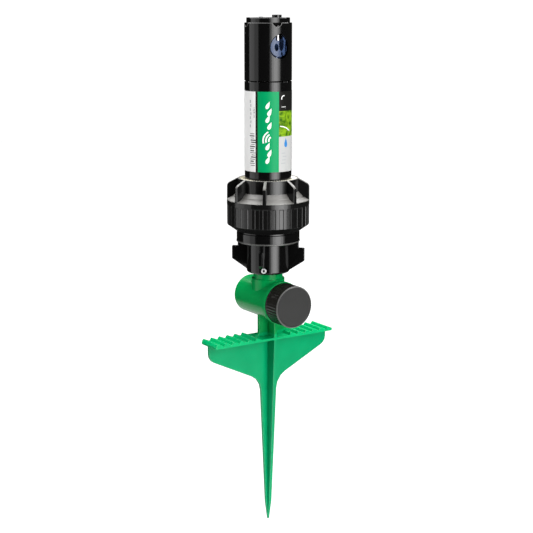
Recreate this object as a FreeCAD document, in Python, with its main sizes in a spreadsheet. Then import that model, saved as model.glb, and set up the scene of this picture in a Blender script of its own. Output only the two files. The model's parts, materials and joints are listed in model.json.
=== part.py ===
import FreeCAD, Part
import Sketcher
import math
import os
import re

# Gear-driven rotor sprinkler head on an in-line hose stake.
# Millimetres.  Origin: centre of the foot plate's underside, on the riser axis.
# +Z up the riser, -Y out of the capped hose outlet, +Y out of the hose inlet, X along the foot plate.

SHEET = "Dimensions"

SIZES = {
    # stake moulding
    "plate_half_length": 55.6, "plate_half_width": 11.0, "plate_thick": 2.0, "tread_height": 2.1,
    "tread_rise": 1.36, "tread_run": 5.2, "tread_pitch": 7.2, "tread_inner": 13.4, "tread_margin": 0.5,
    "tread_root": 0.5, "web_thick": 2.6, "web_corner_depth": 11.2, "web_root_x": 7.7,
    "web_root_depth": 34.2, "web_corner_round": 8.0, "web_flare_round": 15.0, "spike_length": 154.2,
    "spike_point_depth": 139.0, "spike_point_x": 2.75, "spike_tip": 0.7, "rib_waist_depth": 87.0,
    "rib_waist_y": 7.0, "rib_point_y": 3.2, "neck_half_width": 10.2, "neck_top": 24.0,
    "barrel_height": 31.7, "barrel_radius": 15.1, "barrel_rear": 26.3, "barrel_bore": 9.5,
    "flange_radius": 17.0, "flange_rear": 16.5, "flange_front": 20.5, "hose_thread": 13.45,
    "spigot_front": 32.6, "inlet_depth": 12.0, "inlet_bore": 13.6, "washer_seat": 13.9, "washer_thick": 2.4,
    "collar_radius": 13.0, "collar_bottom": 40.0, "collar_top": 49.0, "post_radius": 11.5, "post_top": 65.6,
    "post_bore": 7.0,
    # outlet cap
    "cap_radius": 16.5, "cap_rear": 21.0, "cap_front": 36.9, "cap_inner_end": 34.5, "cap_bore": 13.53,
    "cap_bevel": 0.8, "washer_outer": 13.2, "washer_inner": 9.6, "washer_gap": 0.1,
    # base housing
    "base_bottom": 54.0, "base_radius": 17.0, "base_round": 2.0, "base_ledge": 66.5, "base_floor": 68.0,
    "base_port": 9.0, "base_chamber": 14.6, "base_step": 82.0, "base_bore": 20.2, "band_bottom": 79.0,
    "band_top": 86.4, "band_radius": 25.0, "base_thread": 23.9, "base_top": 107.2, "wing_radius": 29.05,
    "wing_low": 55.0, "wing_shoulder": 63.5, "wing_top": 73.8, "wing_neck": 24.5, "wing_thick": 3.0,
    "base_turn": -45.4, "fit_gap": 0.1, "set_screw_radius": 2.0, "set_screw_height": 57.2,
    "set_screw_socket": 1.1, "set_screw_rim": 0.75, "set_screw_sink": 0.7, "wing_count": 4,
    # clamp cap
    "clamp_bottom": 86.7, "clamp_foot": 25.1, "clamp_radius": 32.3, "clamp_low": 92.2, "clamp_high": 112.2,
    "clamp_bore": 24.0, "clamp_ceiling": 111.3, "shoulder_radius": 26.8, "shoulder_high": 115.0,
    "hub_low": 117.7, "hub_radius": 23.7, "hub_top": 128.4, "hub_bore": 19.2, "hub_pocket": 22.4,
    "pocket_floor": 121.9, "seal_pocket": 20.8, "seal_ledge": 118.2, "grip_floor": 31.75,
    "grip_high": 109.7, "grip_width": 2.9, "grip_count": 32, "grip_turn": -4.55, "clamp_turn": 6.6,
    "fin_radius": 32.2, "fin_thick": 2.9, "fin_count": 8, "fin_top_inner": 128.6, "fin_top_outer": 124.0,
    "fin_side": 121.0, "fin_bevel": 0.9, "ratchet_inner": 18.75, "ratchet_count": 60, "ratchet_depth": 1.0,
    "ratchet_width": 0.9,
    # riser and label
    "riser_radius": 18.2, "riser_bore": 16.4, "riser_top": 203.3, "riser_foot": 99.0, "riser_flange": 22.0,
    "riser_flange_low": 108.2, "riser_flange_high": 111.0, "gasket_thick": 0.6, "label_low": 134.9,
    "label_high": 196.2, "label_thick": 0.18,
    # filter and stator
    "filter_radius": 13.4, "filter_wall": 1.2, "filter_low": 70.0, "filter_rim_low": 100.0,
    "filter_rim": 16.2, "filter_rim_high": 103.0, "slot_width": 1.6, "slot_count": 18, "slot_low": 74.0,
    "slot_high": 97.0, "stator_low": 112.0, "stator_high": 116.0, "valve_port": 4.0, "valve_disc": 5.2,
    "stem_radius": 1.2, "stem_low": 102.5, "jet_count": 6, "jet_radius": 9.5, "jet_bore": 1.6,
    "valve_thick": 1.2, "guide_wall": 1.2, "guide_low": 110.5, "spoke_thick": 1.2, "spoke_count": 3,
    "clip_rim": 1.4, "spring_wall": 0.7,
    # reversing plate and trip rod
    "plate_low": 116.4, "plate_high": 117.8, "plate_inner": 6.6, "plate_outer": 13.8, "rod_orbit": 15.1,
    "rod_radius": 0.8, "rod_top": 206.2, "reversing_bore": 1.7, "ear_half_width": 1.2,
    # turbine
    "turbine_low": 121.0, "turbine_high": 125.6, "turbine_radius": 11.6, "turbine_rim": 10.6,
    "turbine_hub": 3.2, "blade_count": 16, "blade_lean": 1.2, "blade_half_thick": 0.3, "shaft_radius": 0.75,
    "shaft_top": 146.8, "shaft_gap": 0.08,
    # gear case and gears
    "case_radius": 13.8, "case_bore": 13.0, "case_low": 127.0, "case_floor": 129.5, "case_split": 139.6,
    "case_roof": 149.6, "case_high": 151.6, "gear_centres": 7.0, "gear_module": 0.5, "gear_teeth": 20,
    "pinion_teeth": 8, "gear_thick": 2.4, "stage_pitch": 4.6, "stage_low": 131.4, "bearing_outer": 2.4,
    "output_hub": 3.0, "layshaft_low": 128.1, "layshaft_high": 150.8,
    # drive tube and bearing
    "tube_radius": 5.6, "tube_bore": 4.3, "tube_low": 152.4, "tube_top": 221.0, "clutch_low": 152.8,
    "clutch_high": 155.6, "window_half": 1.8, "window_low": 158.4, "window_high": 170.4, "window_count": 4,
    "rod_slot_half": 4.0, "rod_slot_depth": 1.9, "bearing_low": 190.0, "bearing_high": 193.0,
    "bearing_radius": 16.3, "drive_seal_radius": 8.2, "drive_seal_thick": 2.4,
    # turret
    "turret_radius": 18.27, "turret_low": 203.9, "turret_high": 247.4, "turret_bore": 16.2,
    "turret_floor_low": 209.2, "turret_floor_high": 212.0, "turret_turn": -3.3, "notch_radius": 3.6,
    "nozzle_height": 220.5, "nozzle_rise": 27.0, "nozzle_radius": 8.0, "nozzle_front": 15.4,
    "socket_radius": 8.1, "socket_wall": 10.2, "tower_radius": 9.0, "cover_radius": 16.1,
    "cover_low": 245.4, "cover_high": 251.2, "cover_lip": 16.7, "screw_orbit": 14.2, "screw_radius": 1.5,
    "screw_top": 252.6, "screw_tip": 233.6, "screw_boss": 3.6, "pillar_wall": 1.6, "notch_count": 4,
    "main_jet": 3.2, "side_jet": 1.3, "screw_seal_thick": 1.4, "driver_slot_half": 0.25,
    "driver_slot_depth": 1.2, "boss_top": 253.4, "screw_seal_low": 240.2,
    # arc adjustment
    "arc_teeth": 36, "arc_centres": 11.1, "arc_low": 206.7, "arc_thick": 2.0, "arc_tab": 13.6,
    "arc_tab_outer": 15.7, "arc_tab_low": 204.4, "arc_angle": 6.0, "arc_arm_half": 0.8,
    "adjuster_radius": 1.6, "adjuster_top": 251.6,
}

doc = FreeCAD.newDocument("RotorSprinkler")
sheet = doc.addObject("Spreadsheet::Sheet", SHEET)
for row, (alias, number) in enumerate(SIZES.items(), start=1):
    sheet.set(f"A{row}", alias)
    sheet.set(f"B{row}", str(number))
    sheet.setAlias(f"B{row}", alias)
doc.recompute()

parts = []


# ---- helpers: formulas, sketches and features -----------------------------------------------

def formula(text):
    """Turn 'riser_radius - 1' into the expression that reads riser_radius from the sheet."""
    def cell(match):
        word = match.group()
        return f"{SHEET}.{word}" if word in SIZES else word
    return re.sub(r"[a-z][a-z_0-9]*", cell, str(text))


def turned_about(axis):
    """A placement whose axis is set; a formula then sets its angle."""
    return FreeCAD.Placement(FreeCAD.Vector(0, 0, 0), FreeCAD.Rotation(FreeCAD.Vector(*axis), 1.0))


def new_body(label, x="0", y="0", z="0", turn="0", axis=(0, 0, 1)):
    """A sub-part: a PartDesign body placed by formulas and turned about one axis."""
    body = doc.addObject("PartDesign::Body", label)
    body.Label = label
    body.Placement = turned_about(axis)
    body.setExpression("Placement.Base.x", formula(x))
    body.setExpression("Placement.Base.y", formula(y))
    body.setExpression("Placement.Base.z", formula(z))
    body.setExpression("Placement.Rotation.Angle", formula(turn))
    parts.append(body)
    return body


def origin_part(body, role):
    return next(item for item in body.Origin.OriginFeatures if item.Role == role)


def new_sketch(body, name, plane, right="0", up="0", out="0", turn="0", axis=(0, 0, 1)):
    """A sketch on one of the body's own planes, shifted in and out of it and turned about an axis."""
    sketch = body.newObject("Sketcher::SketchObject", name)
    sketch.AttachmentSupport = [(origin_part(body, plane), "")]
    sketch.MapMode = "FlatFace"
    sketch.AttachmentOffset = turned_about(axis)
    sketch.setExpression("AttachmentOffset.Rotation.Angle", formula(turn))
    sketch.setExpression("AttachmentOffset.Base.x", formula(right))
    sketch.setExpression("AttachmentOffset.Base.y", formula(up))
    sketch.setExpression("AttachmentOffset.Base.z", formula(out))
    return sketch


def hold_point(sketch, geometry, point, x, y):
    """Fix one point of a sketch by its two distances from the origin, read from the sheet."""
    here = sketch.getPoint(geometry, point)
    for kind, start, text in (("DistanceX", here.x, x), ("DistanceY", here.y, y)):
        index = sketch.addConstraint(Sketcher.Constraint(kind, -1, 1, geometry, point, start))
        sketch.setExpression(f"Constraints[{index}]", formula(text))


def draw_polygon(sketch, points):
    """A closed outline.  Its corners start on a ring, and the sheet's distances then place them."""
    count = len(points)
    start_radius = 50
    angles = [2 * math.pi * i / count for i in range(count)]
    ring = [FreeCAD.Vector(start_radius * math.cos(angle), start_radius * math.sin(angle), 0)
            for angle in angles]
    first = sketch.GeometryCount
    sketch.addGeometry([Part.LineSegment(ring[i], ring[(i + 1) % count]) for i in range(count)], False)
    sketch.addConstraint([Sketcher.Constraint("Coincident", first + i, 2, first + (i + 1) % count, 1)
                          for i in range(count)])
    for i, (x, y) in enumerate(points):
        hold_point(sketch, first + i, 1, x, y)


def draw_circle(sketch, radius, x="0", y="0"):
    index = sketch.addGeometry(Part.Circle(FreeCAD.Vector(1, 1, 0), FreeCAD.Vector(0, 0, 1), 10), False)
    hold_point(sketch, index, 3, x, y)
    constraint = sketch.addConstraint(Sketcher.Constraint("Radius", index, 10))
    sketch.setExpression(f"Constraints[{constraint}]", formula(radius))


def finish_feature(body, feature, cuts):
    """Recompute, and make sure that a cut took material away."""
    before = body.Shape.Volume if not body.Shape.isNull() else 0.0
    body.Tip = feature
    doc.recompute()
    if cuts and body.Shape.Volume > before - 1e-3:
        raise RuntimeError(f"{feature.Name} of {body.Label} cuts nothing")
    return feature


def extrude(body, sketch, length, cuts=False, reverse=False, symmetric=False):
    kind = "PartDesign::Pocket" if cuts else "PartDesign::Pad"
    feature = body.newObject(kind, sketch.Name + ("_pocket" if cuts else "_pad"))
    feature.Profile = sketch
    feature.setExpression("Length", formula(length))
    feature.Reversed = reverse
    if symmetric:
        feature.SideType = "Symmetric"
    return finish_feature(body, feature, cuts)


def turn_profile(body, name, points, cuts=False, plane="XZ_Plane", axis="V_Axis", up="0"):
    """Revolve an outline of (radius, height) points, or (length, radius) ones about H_Axis."""
    sketch = new_sketch(body, name, plane, up=up)
    draw_polygon(sketch, points)
    kind = "PartDesign::Groove" if cuts else "PartDesign::Revolution"
    feature = body.newObject(kind, name + ("_groove" if cuts else "_turned"))
    feature.Profile = sketch
    feature.ReferenceAxis = (sketch, [axis])
    feature.Angle = 360
    return finish_feature(body, feature, cuts)


def disc(body, name, radius, low, high, cuts=False, x="0", y="0"):
    """A round pad or pocket between two heights."""
    sketch = new_sketch(body, name, "XY_Plane", out=low)
    draw_circle(sketch, radius, x, y)
    return extrude(body, sketch, f"({high}) - ({low})", cuts=cuts, reverse=cuts)


def round_about(body, features, count):
    """Repeat features evenly about the body's Z axis."""
    pattern = body.newObject("PartDesign::PolarPattern", features[0].Name + "_round")
    pattern.Originals = features
    pattern.Axis = (origin_part(body, "Z_Axis"), [""])
    pattern.Angle = 360
    pattern.setExpression("Occurrences", formula(count))
    return finish_feature(body, pattern, False)


def in_line(body, features, count, length):
    """Repeat features evenly along the body's X axis, over a given length."""
    pattern = body.newObject("PartDesign::LinearPattern", features[0].Name + "_row")
    pattern.Originals = features
    pattern.Direction = (origin_part(body, "X_Axis"), [""])
    pattern.setExpression("Length", formula(length))
    pattern.Occurrences = count
    return finish_feature(body, pattern, False)


def round_edges(body, radius, chosen):
    """Fillet the edges whose middle point passes the test."""
    names = [f"Edge{i}" for i, edge in enumerate(body.Tip.Shape.Edges, start=1)
             if chosen(edge.CenterOfMass, edge)]
    base = body.Tip
    feature = body.newObject("PartDesign::Fillet", base.Name + "_round")
    feature.Base = (base, names)
    feature.setExpression("Radius", formula(radius))
    return finish_feature(body, feature, False)


def ring_body(label, inner, outer, low, high, **place):
    """A plain ring such as a washer, gasket or seal."""
    body = new_body(label, **place)
    turn_profile(body, label + "_section", [(inner, low), (outer, low), (outer, high), (inner, high)])
    return body


def add_teeth(body, name, teeth, low, thick, half_pitch):
    """Straight-sided gear teeth about the body's axis; half_pitch starts them half a tooth round."""
    turn = f"180 / {teeth}" if half_pitch else "0"
    pitch = f"gear_module * {teeth} / 2"
    disc(body, name + "_root", f"{pitch} - 1.25 * gear_module", low, f"{low} + {thick}")
    sketch = new_sketch(body, name + "_tooth", "XY_Plane", out=low, turn=turn)
    draw_polygon(sketch, [(f"{pitch} - 1.6 * gear_module", "-gear_module * 0.92"),
                          (f"{pitch} + 0.9 * gear_module", "-gear_module * 0.28"),
                          (f"{pitch} + 0.9 * gear_module", "gear_module * 0.28"),
                          (f"{pitch} - 1.6 * gear_module", "gear_module * 0.92")])
    tooth = extrude(body, sketch, thick)
    round_about(body, [tooth], teeth)


# ---- stake: spike, foot plate, neck, hose barrel and post in one moulding ---------------------

TREADS_A_SIDE = 6


def ground_spike():
    body = new_body("ground_spike")
    web = new_sketch(body, "foot_web", "XZ_Plane")
    half_web = [("plate_half_length", "1"),
                ("plate_half_length", "-web_corner_depth"),
                ("web_root_x", "-web_root_depth"),
                ("spike_point_x", "-spike_point_depth"),
                ("spike_tip", "-spike_length")]
    draw_polygon(web, half_web + [(f"-{x}", y) for x, y in reversed(half_web)])
    extrude(body, web, "web_thick", symmetric=True)

    def at_web_corner(middle, edge):
        return abs(middle.z + SIZES["web_corner_depth"]) < 1 and abs(middle.y) < 0.1

    def at_web_root(middle, edge):
        return abs(middle.z + SIZES["web_root_depth"]) < 1 and abs(middle.y) < 0.1

    round_edges(body, "web_corner_round", at_web_corner)
    round_edges(body, "web_flare_round", at_web_root)

    rib = new_sketch(body, "spike_rib", "YZ_Plane")
    half_rib = [("plate_half_width", "1"),
                ("rib_waist_y", "-rib_waist_depth"),
                ("rib_point_y", "-spike_point_depth"),
                ("spike_tip", "-spike_length")]
    draw_polygon(rib, half_rib + [(f"-{x}", y) for x, y in reversed(half_rib)])
    extrude(body, rib, "web_thick", symmetric=True)

    plate = new_sketch(body, "foot_plate", "XY_Plane")
    draw_polygon(plate, [("-plate_half_length", "-plate_half_width"),
                         ("plate_half_length", "-plate_half_width"),
                         ("plate_half_length", "plate_half_width"),
                         ("-plate_half_length", "plate_half_width")])
    extrude(body, plate, "plate_thick")
    for name, start in (("left_tread", "-plate_half_length + tread_margin"),
                        ("right_tread", "tread_inner")):
        tread = new_sketch(body, name, "XZ_Plane", right=start)
        draw_polygon(tread, [("0", "plate_thick - tread_root"), ("0", "plate_thick"),
                             ("tread_rise", "plate_thick + tread_height"),
                             ("tread_rise + tread_run", "plate_thick"),
                             ("tread_rise + tread_run", "plate_thick - tread_root")])
        first = extrude(body, tread, "2 * plate_half_width", symmetric=True)
        in_line(body, [first], TREADS_A_SIDE, f"{TREADS_A_SIDE - 1} * tread_pitch")

    neck = new_sketch(body, "neck", "XY_Plane")
    half = "web_thick / 2"
    corner = [("neck_half_width", half), (half, half), (half, "plate_half_width")]
    quarter_left = [(f"-({x})", y) for x, y in reversed(corner)]
    lower = [(f"-({x})", f"-({y})") for x, y in corner]
    lower_right = [(x, f"-({y})") for x, y in reversed(corner)]
    draw_polygon(neck, corner + quarter_left + lower + lower_right)
    extrude(body, neck, "neck_top")

    turn_profile(body, "barrel", [("-spigot_front", "0"), ("barrel_rear", "0"),
                                  ("barrel_rear", "barrel_radius"),
                                  ("-flange_rear", "barrel_radius"), ("-flange_rear", "flange_radius"),
                                  ("-flange_front", "flange_radius"), ("-flange_front", "hose_thread"),
                                  ("-spigot_front", "hose_thread")],
                 plane="YZ_Plane", axis="H_Axis", up="barrel_height")
    disc(body, "collar", "collar_radius", "collar_bottom", "collar_top")
    disc(body, "post", "post_radius", "collar_bottom", "post_top")
    turn_profile(body, "hose_way", [("-spigot_front - 1", "0"), ("barrel_rear + 1", "0"),
                                    ("barrel_rear + 1", "inlet_bore"),
                                    ("barrel_rear - inlet_depth", "inlet_bore"),
                                    ("barrel_rear - inlet_depth", "washer_seat"),
                                    ("barrel_rear - inlet_depth - washer_thick", "washer_seat"),
                                    ("barrel_rear - inlet_depth - washer_thick", "barrel_bore"),
                                    ("-spigot_front - 1", "barrel_bore")],
                 cuts=True, plane="YZ_Plane", axis="H_Axis", up="barrel_height")
    disc(body, "riser_way", "post_bore", "barrel_height", "post_top + 1", cuts=True)


def hose_fittings():
    body = new_body("hose_inlet_washer", z="barrel_height")
    turn_profile(body, "inlet_washer", [("barrel_rear - inlet_depth - washer_thick", "washer_inner"),
                                        ("barrel_rear - inlet_depth", "washer_inner"),
                                        ("barrel_rear - inlet_depth", "washer_seat - 0.05"),
                                        ("barrel_rear - inlet_depth - washer_thick", "washer_seat - 0.05")],
                 plane="YZ_Plane", axis="H_Axis")
    body = new_body("outlet_cap_washer", z="barrel_height")
    turn_profile(body, "cap_washer", [("-spigot_front - washer_gap", "washer_inner"),
                                      ("-cap_inner_end + washer_gap", "washer_inner"),
                                      ("-cap_inner_end + washer_gap", "washer_outer"),
                                      ("-spigot_front - washer_gap", "washer_outer")],
                 plane="YZ_Plane", axis="H_Axis")
    body = new_body("outlet_cap", z="barrel_height")
    turn_profile(body, "outlet_cap_section", [("-cap_front", "0"), ("-cap_inner_end", "0"),
                                              ("-cap_inner_end", "cap_bore"), ("-cap_rear", "cap_bore"),
                                              ("-cap_rear", "cap_radius"),
                                              ("-cap_front + cap_bevel", "cap_radius"),
                                              ("-cap_front", "cap_radius - cap_bevel")],
                 plane="YZ_Plane", axis="H_Axis")


# ---- base housing with four wrench wings ------------------------------------------------------

def base_housing():
    body = new_body("base_housing", turn="base_turn")
    thread = "post_radius + fit_gap"
    turn_profile(body, "base_section", [(thread, "base_bottom"),
                                        ("base_radius - base_round", "base_bottom"),
                                        ("base_radius", "base_bottom + base_round"),
                                        ("base_radius", "band_bottom"),
                                        ("band_radius", "band_bottom"), ("band_radius", "band_top"),
                                        ("base_thread", "band_top"), ("base_thread", "base_top"),
                                        ("base_bore", "base_top"), ("base_bore", "base_step + 2"),
                                        ("base_chamber", "base_step"), ("base_chamber", "base_floor"),
                                        ("base_port", "base_floor"), ("base_port", "base_ledge"),
                                        (thread, "base_ledge")])
    wing = new_sketch(body, "wing", "XZ_Plane")
    draw_polygon(wing, [("base_radius - 1", "wing_low"), ("wing_radius", "wing_shoulder"),
                        ("wing_radius", "wing_top"), ("wing_neck", "wing_top"),
                        ("wing_neck", "band_bottom"),
                        ("base_radius - 1", "band_bottom")])
    first = extrude(body, wing, "wing_thick", symmetric=True)
    round_about(body, [first], "wing_count")
    hole = new_sketch(body, "set_screw_hole", "XZ_Plane")
    draw_circle(hole, "set_screw_radius + 0.05", "0", "set_screw_height")
    extrude(body, hole, "base_radius + 1", cuts=True, reverse=True)
    recess = new_sketch(body, "set_screw_recess", "XZ_Plane", out="base_radius - set_screw_sink")
    draw_circle(recess, "set_screw_radius + set_screw_rim", "0", "set_screw_height")
    extrude(body, recess, "2", cuts=True, reverse=True)

    screw = new_body("base_set_screw", turn="base_turn")
    shank = new_sketch(screw, "set_screw_shank", "XZ_Plane", out="post_radius + 0.3")
    draw_circle(shank, "set_screw_radius", "0", "set_screw_height")
    extrude(screw, shank, "base_radius - post_radius - 0.6")
    socket = new_sketch(screw, "set_screw_hex", "XZ_Plane", out="base_radius - 2.3")
    draw_circle(socket, "set_screw_socket", "0", "set_screw_height")
    extrude(screw, socket, "4", cuts=True, reverse=True)

    ring_body("post_seal", "post_bore", "post_radius - 0.1", "post_top", "base_ledge")
    ring_body("riser_gasket", "base_bore + 0.2", "base_thread - 0.3", "base_top", "base_top + gasket_thick")


# ---- clamp cap that screws down on the base ---------------------------------------------------

def clamp_cap():
    body = new_body("clamp_cap", turn="clamp_turn")
    turn_profile(body, "clamp_section", [("clamp_bore", "clamp_bottom"), ("clamp_foot", "clamp_bottom"),
                                         ("grip_floor", "clamp_low"), ("grip_floor", "grip_high"),
                                         ("clamp_radius", "grip_high + 0.5"),
                                         ("clamp_radius", "clamp_high"),
                                         ("shoulder_radius", "shoulder_high"), ("hub_radius", "hub_low"),
                                         ("hub_radius", "hub_top"), ("hub_pocket", "hub_top"),
                                         ("hub_pocket", "pocket_floor"), ("hub_bore", "pocket_floor"),
                                         ("hub_bore", "seal_ledge"), ("seal_pocket", "seal_ledge"),
                                         ("seal_pocket", "clamp_ceiling"), ("clamp_bore", "clamp_ceiling")])
    grip = new_sketch(body, "grip_rib", "XY_Plane", out="clamp_low", turn="grip_turn")
    draw_polygon(grip, [("grip_floor - 0.6", "-grip_width / 2"),
                        ("clamp_radius - 0.05", "-grip_width / 2 + 0.2"),
                        ("clamp_radius - 0.05", "grip_width / 2 - 0.2"),
                        ("grip_floor - 0.6", "grip_width / 2")])
    first = extrude(body, grip, "grip_high + 0.3 - clamp_low")
    round_about(body, [first], "grip_count")
    fin = new_sketch(body, "fin", "XZ_Plane")
    draw_polygon(fin, [("hub_radius - 0.6", "hub_low - 3"), ("clamp_radius - 2", "clamp_high - 2"),
                       ("fin_radius", "clamp_high - 2"), ("fin_radius", "fin_side"),
                       ("fin_radius - fin_bevel", "fin_top_outer"), ("hub_radius - 0.6", "fin_top_inner")])
    first = extrude(body, fin, "fin_thick", symmetric=True)
    round_about(body, [first], "fin_count")

    ring_body("wiper_seal", "riser_radius + label_thick + 0.07", "seal_pocket - fit_gap",
              "clamp_ceiling + 0.3", "seal_ledge - 0.2")

    ratchet = new_body("ratchet_ring", turn="clamp_turn")
    turn_profile(ratchet, "ratchet_section", [("ratchet_inner", "pocket_floor"),
                                              ("hub_pocket - fit_gap", "pocket_floor"),
                                              ("hub_pocket - fit_gap", "hub_top"),
                                              ("ratchet_inner", "hub_top")])
    notch = new_sketch(ratchet, "ratchet_notch", "XZ_Plane", out="-ratchet_width / 2")
    draw_polygon(notch, [("ratchet_inner - 1", "hub_top - ratchet_depth"),
                         ("hub_pocket + 1", "hub_top - ratchet_depth"),
                         ("hub_pocket + 1", "hub_top + 1"), ("ratchet_inner - 1", "hub_top + 1")])
    first = extrude(ratchet, notch, "ratchet_width", cuts=True, reverse=True)
    round_about(ratchet, [first], "ratchet_count")


# ---- riser tube, label, filter, stator, bypass valve ------------------------------------------

def riser():
    body = new_body("riser_tube")
    turn_profile(body, "riser_section", [("riser_bore", "riser_foot"), ("riser_radius", "riser_foot"),
                                         ("riser_radius", "riser_flange_low"),
                                         ("riser_flange", "riser_flange_low"),
                                         ("riser_flange", "riser_flange_high"),
                                         ("riser_radius", "riser_flange_high"),
                                         ("riser_radius", "riser_top"), ("riser_bore", "riser_top")])
    ring_body("riser_label", "riser_radius", "riser_radius + label_thick", "label_low", "label_high")

    basket = new_body("filter_basket")
    turn_profile(basket, "basket_section", [("0", "filter_low"), ("filter_radius", "filter_low"),
                                            ("filter_radius", "filter_rim_low"),
                                            ("filter_rim", "filter_rim_low"),
                                            ("filter_rim", "filter_rim_high"),
                                            ("filter_radius - filter_wall", "filter_rim_high"),
                                            ("filter_radius - filter_wall", "filter_low + filter_wall"),
                                            ("0", "filter_low + filter_wall")])
    slot = new_sketch(basket, "filter_slot", "XZ_Plane", out="filter_radius - 2.5")
    draw_polygon(slot, [("-slot_width / 2", "slot_low"), ("slot_width / 2", "slot_low"),
                        ("slot_width / 2", "slot_high"), ("-slot_width / 2", "slot_high")])
    first = extrude(basket, slot, "4", cuts=True, reverse=True)
    round_about(basket, [first], "slot_count")

    stator = new_body("stator")
    turn_profile(stator, "stator_section", [("valve_port", "stator_low"),
                                            ("riser_bore - 0.1", "stator_low"),
                                            ("riser_bore - 0.1", "stator_high"),
                                            ("valve_port", "stator_high")])
    jet = disc(stator, "stator_jet", "jet_bore", "stator_low - 1", "stator_high + 1", cuts=True,
               x="jet_radius")
    round_about(stator, [jet], "jet_count")
    spider = new_sketch(stator, "stator_guide", "XY_Plane", out="guide_low")
    draw_circle(spider, "stem_radius + guide_wall")
    draw_circle(spider, "stem_radius + 0.1")
    extrude(stator, spider, "2.5")
    spoke = new_sketch(stator, "stator_spoke", "XZ_Plane")
    draw_polygon(spoke, [("stem_radius + 0.8", "stator_low - 0.5"),
                         ("valve_port + 0.5", "stator_low - 0.5"),
                         ("valve_port + 0.5", "stator_low + 1"), ("stem_radius + 0.8", "stator_low + 1")])
    first = extrude(stator, spoke, "spoke_thick", symmetric=True)
    round_about(stator, [first], "spoke_count")

    valve = new_body("bypass_valve")
    disc(valve, "valve_disc_pad", "valve_disc", "stator_high + 0.05", "stator_high + valve_thick")
    disc(valve, "valve_stem", "stem_radius", "stem_low", "stator_high + 0.6")
    disc(valve, "valve_clip", "stem_radius + clip_rim", "stem_low", "stem_low + 1")

    spring = new_body("bypass_spring")
    inner = "stem_radius + 0.3"
    outer = "stem_radius + 0.3 + spring_wall"
    turn_profile(spring, "spring_sleeve", [(inner, "stem_low + 1.05"), (outer, "stem_low + 1.05"),
                                           (outer, "guide_low - 0.05"), (inner, "guide_low - 0.05")])


# ---- reversing plate, turbine and gears -------------------------------------------------------

def reversing_parts():
    plate = new_body("reversing_plate")
    turn_profile(plate, "reversing_section", [("plate_inner", "plate_low"), ("plate_outer", "plate_low"),
                                              ("plate_outer", "plate_high"), ("plate_inner", "plate_high")])
    port = disc(plate, "reversing_port", "reversing_bore", "plate_low - 1", "plate_high + 1", cuts=True,
                x="jet_radius")
    round_about(plate, [port], "jet_count")
    ear = new_sketch(plate, "reversing_ear", "XY_Plane", out="plate_low")
    draw_polygon(ear, [("-ear_half_width", "plate_outer - 0.6"), ("ear_half_width", "plate_outer - 0.6"),
                       ("ear_half_width", "rod_orbit"), ("-ear_half_width", "rod_orbit")])
    extrude(plate, ear, "plate_high - plate_low")
    rod = new_body("trip_rod")
    disc(rod, "trip_rod_pad", "rod_radius", "plate_high", "rod_top", y="rod_orbit")


def turbine():
    wheel = new_body("turbine_wheel")
    bore = "shaft_radius"
    turn_profile(wheel, "turbine_hub_section", [(bore, "turbine_low"), ("turbine_hub", "turbine_low"),
                                                ("turbine_hub", "turbine_high"), (bore, "turbine_high")])
    turn_profile(wheel, "turbine_rim_section", [("turbine_rim", "turbine_low"),
                                                ("turbine_radius", "turbine_low"),
                                                ("turbine_radius", "turbine_high"),
                                                ("turbine_rim", "turbine_high")])
    blade = new_sketch(wheel, "turbine_blade", "YZ_Plane", out="turbine_hub - 0.4")
    draw_polygon(blade, [("-blade_lean - blade_half_thick", "turbine_low"),
                         ("-blade_lean + blade_half_thick", "turbine_low"),
                         ("blade_lean + blade_half_thick", "turbine_high"),
                         ("blade_lean - blade_half_thick", "turbine_high")])
    first = extrude(wheel, blade, "turbine_rim - turbine_hub + 0.7")
    round_about(wheel, [first], "blade_count")

    shaft = new_body("turbine_shaft")
    disc(shaft, "turbine_shaft_pad", "shaft_radius", "turbine_low", "shaft_top")

    pinion = new_body("turbine_pinion")
    add_teeth(pinion, "turbine_pinion", "pinion_teeth", "stage_low", "gear_thick + 0.6", False)
    disc(pinion, "turbine_pinion_bore", "shaft_radius", "stage_low - 1", "stage_low + 5", cuts=True)


def compound_gear(label, x, low):
    """A 20-tooth gear with an 8-tooth pinion above it, free on its shaft."""
    body = new_body(label, x=x, z=low)
    add_teeth(body, label + "_gear", "gear_teeth", "0", "gear_thick", True)
    add_teeth(body, label + "_pinion", "pinion_teeth", "gear_thick - 0.2", "stage_pitch", False)
    disc(body, label + "_bore", "shaft_radius + shaft_gap", "-1", "gear_thick + stage_pitch + 1", cuts=True)


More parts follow.
